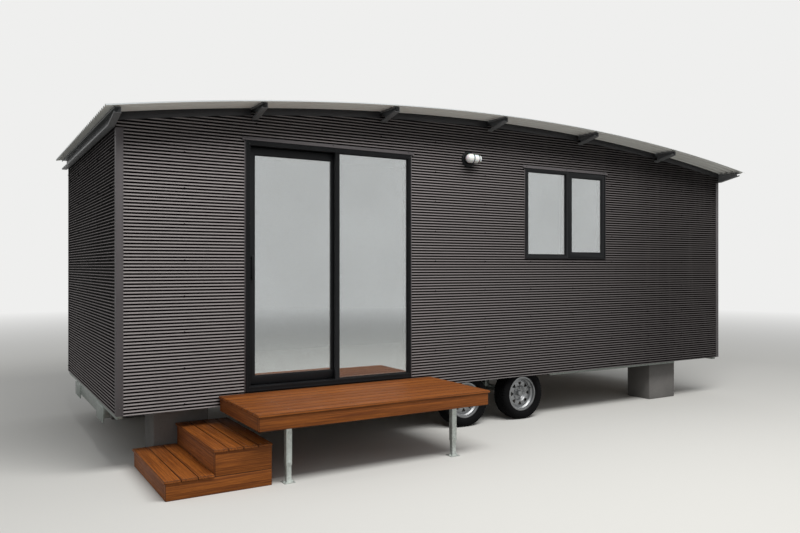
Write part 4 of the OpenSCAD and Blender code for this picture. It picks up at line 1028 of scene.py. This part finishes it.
class TINYHOUSE_OT_door(Operator):
    """Builds the sliding door: its frame, its two panels and the pull"""

    bl_idname = "tinyhouse.door"
    bl_label = "Sliding Door"

    def execute(self, context):
        sizes = settings("house_glazing")
        glaze("fixed_panel", "door_fixed_glass", [sizes.door_bead])
        glaze("sash", "sash_glass", [0.0], SASH)
        refine("door_frame", "door_frame_profiles", "black_aluminium", "aluminium", sizes.soft_edge)
        refine("sash_frame", "sash_profiles", "black_aluminium", "aluminium", sizes.soft_edge, SASH)
        refine("sash_handle", "door_pull", "black_aluminium", "aluminium", sizes.pull_edge, SASH)
        low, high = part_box("door_frame")
        ridges = frame_ridges(outline_of((low, high)), low.y + sizes.step)
        dress(ridges, "door_frame_ridges", "black_aluminium", "aluminium")
        # Radius and place of each step of a cap's dome, as shares of the cap's radius
        dome = ((1, 0.2), (1, -0.16), (0.8, -0.4), (0.1, -0.52))
        cap = turned([(sizes.cap * r, sizes.cap * y) for r, y in dome], 16)
        third, end = (high.z - low.z) / 3, sizes.cap_margin
        places = [shift(x, low.y + sizes.step - sizes.ridge, z)
                  for x in (low.x + sizes.jamb * sizes.cap_in, high.x - sizes.fixed_jamb * sizes.cap_in)
                  for z in (low.z + end, low.z + third, low.z + 2 * third, high.z - end)]
        scatter(smooth(cap), places, "door_frame_caps", "black_aluminium", "gasket")
        return {"FINISHED"}


class TINYHOUSE_OT_window(Operator):
    """Builds the window: its frame, its opening sash and its two panes"""

    bl_idname = "tinyhouse.window"
    bl_label = "Window"

    def execute(self, context):
        sizes = settings("house_glazing")
        glaze("window", "window_glass", [sizes.window_bead, 0.0])
        refine("window_frame", "window_frame_profiles", "black_aluminium", "aluminium", sizes.soft_edge)
        refine("window_sash", "window_sash_profiles", "black_aluminium", "aluminium", sizes.soft_edge)
        return {"FINISHED"}


class TINYHOUSE_OT_lamp(Operator):
    """Builds the lamp: a base ring, a neck, the opal jar, its two seals and the housing"""

    bl_idname = "tinyhouse.lamp"
    bl_label = "Lamp"

    def execute(self, context):
        sizes = settings("house_lamp")
        low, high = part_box("lamp_lens")
        base_low, base_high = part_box("lamp_base")
        ring = (high.z - low.z) / 2
        jar = ring - sizes.collar
        glass, seal, band, housing = self.body(sizes, ring, jar, high.x - low.x)
        level = shift(low.x, low.y + ring, (low.z + high.z) / 2) @ quarter_turn("Z")
        for part in (glass, seal, band, housing):
            part.data.transform(level)
        neck, plate = self.base(sizes, base_low, base_high, jar * sizes.neck_depth)
        dress(smooth(glass), "lamp_jar", "lamp_white", "lamp", "lamp_lens")
        dress(smooth(join([seal, band])), "lamp_seal", "lamp_dark", "gasket")
        dress(smooth(join([housing, neck])), "lamp_housing", "lamp_white", "lamp")
        # The base ring is black: partly its own coat, partly painted shadow of the lamp on the wall
        dress(smooth(plate), "lamp_base_ring", "lamp_dark", "aluminium", "lamp_base")
        return {"FINISHED"}

    def body(self, sizes, ring, jar, tip):
        """The domed jar, its seal, the band before the end cap and the housing, along Y from dome to tip."""
        bevel, sides = sizes.bevel, 40
        shell, cap = jar - sizes.shoulder, jar * sizes.cap_width
        middle = tip * sizes.middle
        near, far = middle - sizes.seam, middle + sizes.seam
        end = tip - sizes.end_cap
        dome = [(max(jar * math.sin(a), PIN), jar * (1 - math.cos(a)))
                for a in [math.radians(6 * n) for n in range(16)]]
        glass = turned([*dome, (jar, near), (jar - sizes.wall, near + bevel / 2)], sides)
        seal = turned([(jar - sizes.wall, near), (ring, near + bevel), (ring, far - bevel),
                       (shell - bevel, far - bevel / 2)], sides)
        lip, half = shell + bevel * 0.4, sizes.end_seam
        band = turned([(cap - bevel, end - half), (lip, end - half), (lip, end + half / 2),
                       (cap + bevel / 2, end + half), (cap - bevel, end + half)], sides)
        housing = turned([(shell - bevel, middle), (shell, middle + bevel), (shell, end - bevel * 4),
                          (shell - bevel / 2, end - bevel * 2.5), (cap + bevel, end - bevel / 2),
                          (cap, end + bevel / 2), (cap, tip - bevel * 3), (cap - bevel, tip - bevel),
                          (cap - bevel * 3, tip), (PIN, tip)], sides)
        return glass, seal, band, housing

    def base(self, sizes, low, high, depth):
        """The neck, which reaches that deep into the jar, and the base ring with its groove."""
        bevel, foot = sizes.bevel, sizes.neck + sizes.bevel * 2
        out, face = (high.x - low.x) / 2, low.y - high.y
        groove = out - sizes.base_groove
        inner = groove - sizes.groove_width
        neck = turned([(sizes.neck, face - depth), (sizes.neck, face - bevel * 2), (foot, face - bevel / 2),
                       (foot, face + bevel)], 32)
        plate = turned([(out, 0), (out, face * 0.4), (out - bevel, face * 0.7), (out - sizes.base_edge, face),
                        (groove, face), (groove - bevel, face * 0.8), (inner + bevel, face * 0.8),
                        (inner, face), (PIN, face)], 48)
        for part in (neck, plate):
            part.data.transform(shift((low.x + high.x) / 2, high.y, (low.z + high.z) / 2))
        return neck, plate


def timber(node, name, seed):
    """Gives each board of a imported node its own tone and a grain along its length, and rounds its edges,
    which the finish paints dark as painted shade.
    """
    draw = random.Random(seed)
    pieces = loose_pieces(node)
    for piece in pieces:
        low, high = mesh_box(piece)
        longest = max(high - low)
        faces = len(piece.data.polygons)
        grain = [1.0 if size == longest else 0.0 for size in high - low]
        piece.data.attributes.new("board", "FLOAT", "FACE").data.foreach_set("value", [draw.random()] * faces)
        piece.data.attributes.new("grain", "FLOAT_VECTOR", "FACE").data.foreach_set("vector", grain * faces)
    boards = soften(join(pieces), settings("house_timber").board_edge)
    # Marks the faces of the rounded edges, which the finish paints dark: painted shade between the boards
    rounded = [float(max(map(abs, face.normal)) < SQUARE) for face in boards.data.polygons]
    boards.data.attributes.new("edge", "FLOAT", "FACE").data.foreach_set("value", rounded)
    return dress(boards, name, "decking_timber", "timber", node)


def deck_screw():
    """A countersunk deck screw, its head level with a board's top at z 0."""
    sizes = settings("house_timber")
    radius, crown, rim = sizes.screw, sizes.crown, sizes.crown * 0.75
    screw = turned([(radius * 0.8, SUNK), (radius, 0.0), (radius, -rim), (radius * 0.4, -crown),
                    (radius * 0.3, rim)], 8)
    screw.data.transform(quarter_turn("X"))
    return screw


class TINYHOUSE_OT_landing(Operator):
    """Lays the landing's decking on its frame and sets it on its legs"""

    bl_idname = "tinyhouse.landing"
    bl_label = "Landing"

    def execute(self, context):
        sizes = settings("house_timber")
        joists = [(low.x + high.x) / 2 for low, high in loose_boxes("landing_frame")
                  if high.x - low.x < high.y - low.y]
        rows = loose_boxes("landing_decking")
        timber("landing_decking", "landing_boards", 3)
        timber("landing_frame", "landing_joists", 5)
        places = [shift(x, y, high.z) for low, high in rows for x in joists
                  for y in (low.y + sizes.screw_in, high.y - sizes.screw_in)]
        scatter(deck_screw(), places, "landing_screws", "galvanised_steel", "stainless")
        refine("landing_legs", "landing_legs_zinc", "galvanised_steel", "zinc", sizes.leg_edge)
        return {"FINISHED"}


class TINYHOUSE_OT_steps(Operator):
    """Builds the two steps from boards"""

    bl_idname = "tinyhouse.steps"
    bl_label = "Steps"

    def execute(self, context):
        sizes = settings("house_timber")
        treads = loose_boxes("step_treads")
        timber("step_box", "step_boards", 16)
        timber("step_treads", "step_treads_planed", 45)
        places = [shift(x, y, high.z) for low, high in treads
                  for x in (low.x + sizes.screw_in, high.x - sizes.screw_in)
                  for y in (low.y + sizes.screw_end, (low.y + high.y) / 2, high.y - sizes.screw_end)]
        scatter(deck_screw(), places, "step_screws", "galvanised_steel", "stainless")
        return {"FINISHED"}


class TINYHOUSE_OT_running_gear(Operator):
    """Builds the chassis, the axles, the springs and the wheels"""

    bl_idname = "tinyhouse.running_gear"
    bl_label = "Running Gear"

    def execute(self, context):
        sizes = settings("house_running_gear")
        # These take the darker zinc: painted shade under the floor
        for node in ("chassis_rails", "chassis_crossmembers", "axles"):
            refine(node, node + "_zinc", "galvanised_steel", "chassis", sizes.steel_edge)
        refine("leaf_springs", "leaf_springs_zinc", "galvanised_steel", "chassis", sizes.wheel_edge)
        places = []
        for wheel in WHEELS:
            low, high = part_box(wheel + "_tyre")
            turn = ABOUT_FACE if "back" in wheel else Matrix.Identity(4)
            places.append(Matrix.Translation((low + high) / 2) @ turn)
            refine(wheel + "_rim", wheel + "_rim_enamelled", "rim_steel", "rim", sizes.wheel_edge, wheel)
        for wheel, tyre in zip(WHEELS, copy_to(self.tyre(sizes), places)):
            dress(tyre, wheel + "_tyre_moulded", "tyre", "rubber", wheel + "_tyre", body=wheel)
        for wheel, valve in zip(WHEELS, copy_to(self.valve(sizes), places)):
            dress(valve, wheel + "_valve", "tyre", "gasket", body=wheel)
        return {"FINISHED"}

    def tyre(self, sizes):
        """A tyre about Y: beads, sidewalls with two rings, shoulders with cuts across, a grooved tread."""
        low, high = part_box(WHEELS[0] + "_tyre")
        rim_low, rim_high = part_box(WHEELS[0] + "_rim")
        outer, side = (high.x - low.x) / 2, (high.y - low.y) / 2
        seat = (rim_high.x - rim_low.x) / 2
        half = (rim_high.y - rim_low.y) / 2 - sizes.flange
        middle = (seat + outer) / 2
        # The bead, then the sidewall, which swells to the full width and has a ring on two of its steps
        profile = [(seat - sizes.bead, half), (seat + sizes.bead_lip, half)]
        for n in range(1, 10):
            turn = math.radians(10 * n)
            raised = sizes.ring if n in (3, 6) else 0.0
            profile.append((middle - (middle - seat) * math.cos(turn),
                            half + (side - half) * math.sin(turn) + raised))
        # The shoulder, which rounds over to the tread
        for n in range(1, 7):
            turn = math.radians(15 * n)
            profile.append((middle + (outer - middle) * math.sin(turn),
                            sizes.tread + (side - sizes.tread) * math.cos(turn)))
        flank = list(profile)
        # Three grooves
        for place in (1, 0, -1):
            for share, depth in ((0.5, 0), (0.3, 1), (-0.3, 1), (-0.5, 0)):
                profile.append((outer - depth * sizes.groove_depth,
                                place * sizes.groove_pitch + share * sizes.groove))
        profile += [(r, -y) for r, y in reversed(flank)]
        # The cuts across the shoulders
        sides = SIPE_SIDES * sizes.sipes
        rings = []
        for r, y in profile:
            shoulder = abs(y) > sizes.groove_pitch + sizes.groove and r > outer - sizes.shoulder
            ring = []
            for n in range(sides):
                reach = r - sizes.sipe_depth if shoulder and n % SIPE_SIDES == 0 else r
                turn = 2 * math.pi * n / sides
                ring.append(Vector((reach * math.cos(turn), y, reach * math.sin(turn))))
            rings.append(ring)
        return smooth(loft(rings, closed=True), TYRE_ANGLE)

    def valve(self, sizes):
        """A rubber valve with its cap, near the rim's edge and facing out."""
        valve = turned([(r, -y) for r, *span in VALVE for y in span], 10)
        out, turn = sizes.valve_circle, sizes.valve_turn
        valve.data.transform(shift(out * math.cos(turn), 0, out * math.sin(turn)))
        return smooth(valve)


class TINYHOUSE_OT_shell(Operator):
    """Finishes the piers, the floor, the lined walls and the ceiling"""

    bl_idname = "tinyhouse.shell"
    bl_label = "Shell"

    def execute(self, context):
        refine("piers", "piers_cast", "concrete", "concrete", settings("house_running_gear").pier_edge)
        finish_node("floor", "plywood")
        finish_node("floor_rim", "plywood")
        for node in ("front_wall_left", "front_wall_over_door", "front_wall_right", "back_wall",
                     "left_end_wall", "right_end_wall", "ceiling"):
            finish_node(node, "lining")
        return {"FINISHED"}


class TINYHOUSE_OT_stage(Operator):
    """Sets the pale floor, the backdrop, the soft lights and the camera"""

    bl_idname = "tinyhouse.stage"
    bl_label = "Stage"

    def execute(self, context):
        stage = settings("house_stage")
        scene = context.scene
        scene.view_settings.view_transform = "Standard"
        deselect()
        bpy.ops.mesh.primitive_circle_add(vertices=96, radius=stage.floor_radius, fill_type="NGON")
        floor = context.object
        floor.name = "floor"
        floor.data.materials.append(self.floor_material(stage))
        self.light_world(scene, stage)
        deselect()
        bpy.ops.object.light_add(type="AREA", location=stage.softbox, rotation=(stage.tilt, 0, 0))
        box = context.object.data
        box.shape = "RECTANGLE"
        box.size, box.size_y = stage.box_width, stage.box_depth
        box.energy = stage.key * math.pi * box.size * box.size_y
        box.color = stage.warmth
        deselect()
        bpy.ops.object.camera_add(location=stage.camera, rotation=(math.pi / 2, 0, -stage.heading))
        scene.camera = context.object
        view = context.object.data
        view.sensor_width, view.lens, view.clip_end = stage.sensor, stage.lens, stage.sight
        return {"FINISHED"}

    def floor_material(self, stage):
        """A pale floor that keeps the house's shadow, fades into the backdrop and throws back less light."""
        material = bpy.data.materials.new("pale_floor")
        material.use_nodes = True
        tree = material.node_tree
        tree.nodes.clear()
        place = add_node(tree, "TexCoord").outputs["Object"]
        distance = add_node(tree, "VectorMath", [place], operation="LENGTH").outputs["Value"]
        fade = add_node(tree, "MapRange", [distance, stage.fade_start, stage.fade_end, 0.0, 1.0])
        spread = add_node(tree, "LightPath").outputs["Is Diffuse Ray"]
        seen = add_node(tree, "Mix", {0: spread, 6: (*stage.floor, 1), 7: (*stage.bounce, 1)},
                        data_type="RGBA").outputs[2]
        matte = add_node(tree, "BsdfDiffuse", {"Color": seen})
        glow = add_node(tree, "Emission", {"Color": (*stage.backdrop, 1)})
        mixed = add_node(tree, "MixShader", [fade, matte, glow])
        add_node(tree, "OutputMaterial", [mixed])
        return material

    def light_world(self, scene, stage):
        """White all round: the backdrop for the camera, metal and glass, a soft fill for the rest."""
        world = bpy.data.worlds.new("pale_studio")
        world.use_nodes = True
        scene.world = world
        tree = world.node_tree
        tree.nodes.clear()
        rays = add_node(tree, "LightPath").outputs
        seen = add_node(tree, "Math", [rays["Is Camera Ray"], rays["Is Glossy Ray"]], operation="MAXIMUM")
        seen = add_node(tree, "Math", [seen, rays["Is Transmission Ray"]], operation="MAXIMUM")
        fill = add_node(tree, "Background", {"Color": (1, 1, 1, 1), "Strength": stage.fill})
        shown = add_node(tree, "Background", {"Color": (*stage.backdrop, 1)})
        mixed = add_node(tree, "MixShader", [seen, fill, shown])
        add_node(tree, "OutputWorld", [mixed])


STEPS = (
    TINYHOUSE_OT_stage, TINYHOUSE_OT_wall_sheets, TINYHOUSE_OT_wall_screws, TINYHOUSE_OT_corner_trims,
    TINYHOUSE_OT_flashings, TINYHOUSE_OT_roof, TINYHOUSE_OT_door, TINYHOUSE_OT_window, TINYHOUSE_OT_lamp,
    TINYHOUSE_OT_landing, TINYHOUSE_OT_steps, TINYHOUSE_OT_running_gear, TINYHOUSE_OT_shell,
)
GROUPS = {
    "house_sheet_metal": SheetMetalSettings, "house_glazing": GlazingSettings, "house_lamp": LampSettings,
    "house_timber": TimberSettings, "house_running_gear": RunningGearSettings, "house_finish": FinishSettings,
    "house_stage": StageSettings,
}


class TINYHOUSE_PT_panel(Panel):
    """Lists the pieces of the house"""

    bl_idname = "TINYHOUSE_PT_panel"
    bl_label = "Tiny House"
    bl_space_type = "VIEW_3D"
    bl_region_type = "UI"
    bl_category = "Tiny House"

    def draw(self, context):
        for group, kind in GROUPS.items():
            for option in kind.__annotations__:
                self.layout.prop(settings(group), option)
        for step in STEPS:
            self.layout.operator(step.bl_idname)


def register():
    """Adds the settings, the operators and the panel to Blender."""
    for group, kind in GROUPS.items():
        bpy.utils.register_class(kind)
        setattr(bpy.types.Scene, group, PointerProperty(type=kind))
    for step in (*STEPS, TINYHOUSE_PT_panel):
        bpy.utils.register_class(step)


def unregister():
    """Takes them out again."""
    for step in (TINYHOUSE_PT_panel, *reversed(STEPS)):
        bpy.utils.unregister_class(step)
    for group, kind in GROUPS.items():
        delattr(bpy.types.Scene, group)
        bpy.utils.unregister_class(kind)


def main():
    """Builds every piece in order."""
    register()
    for step in STEPS:
        area, action = step.bl_idname.split(".")
        getattr(getattr(bpy.ops, area), action)()


if __name__ == "__main__":
    main()
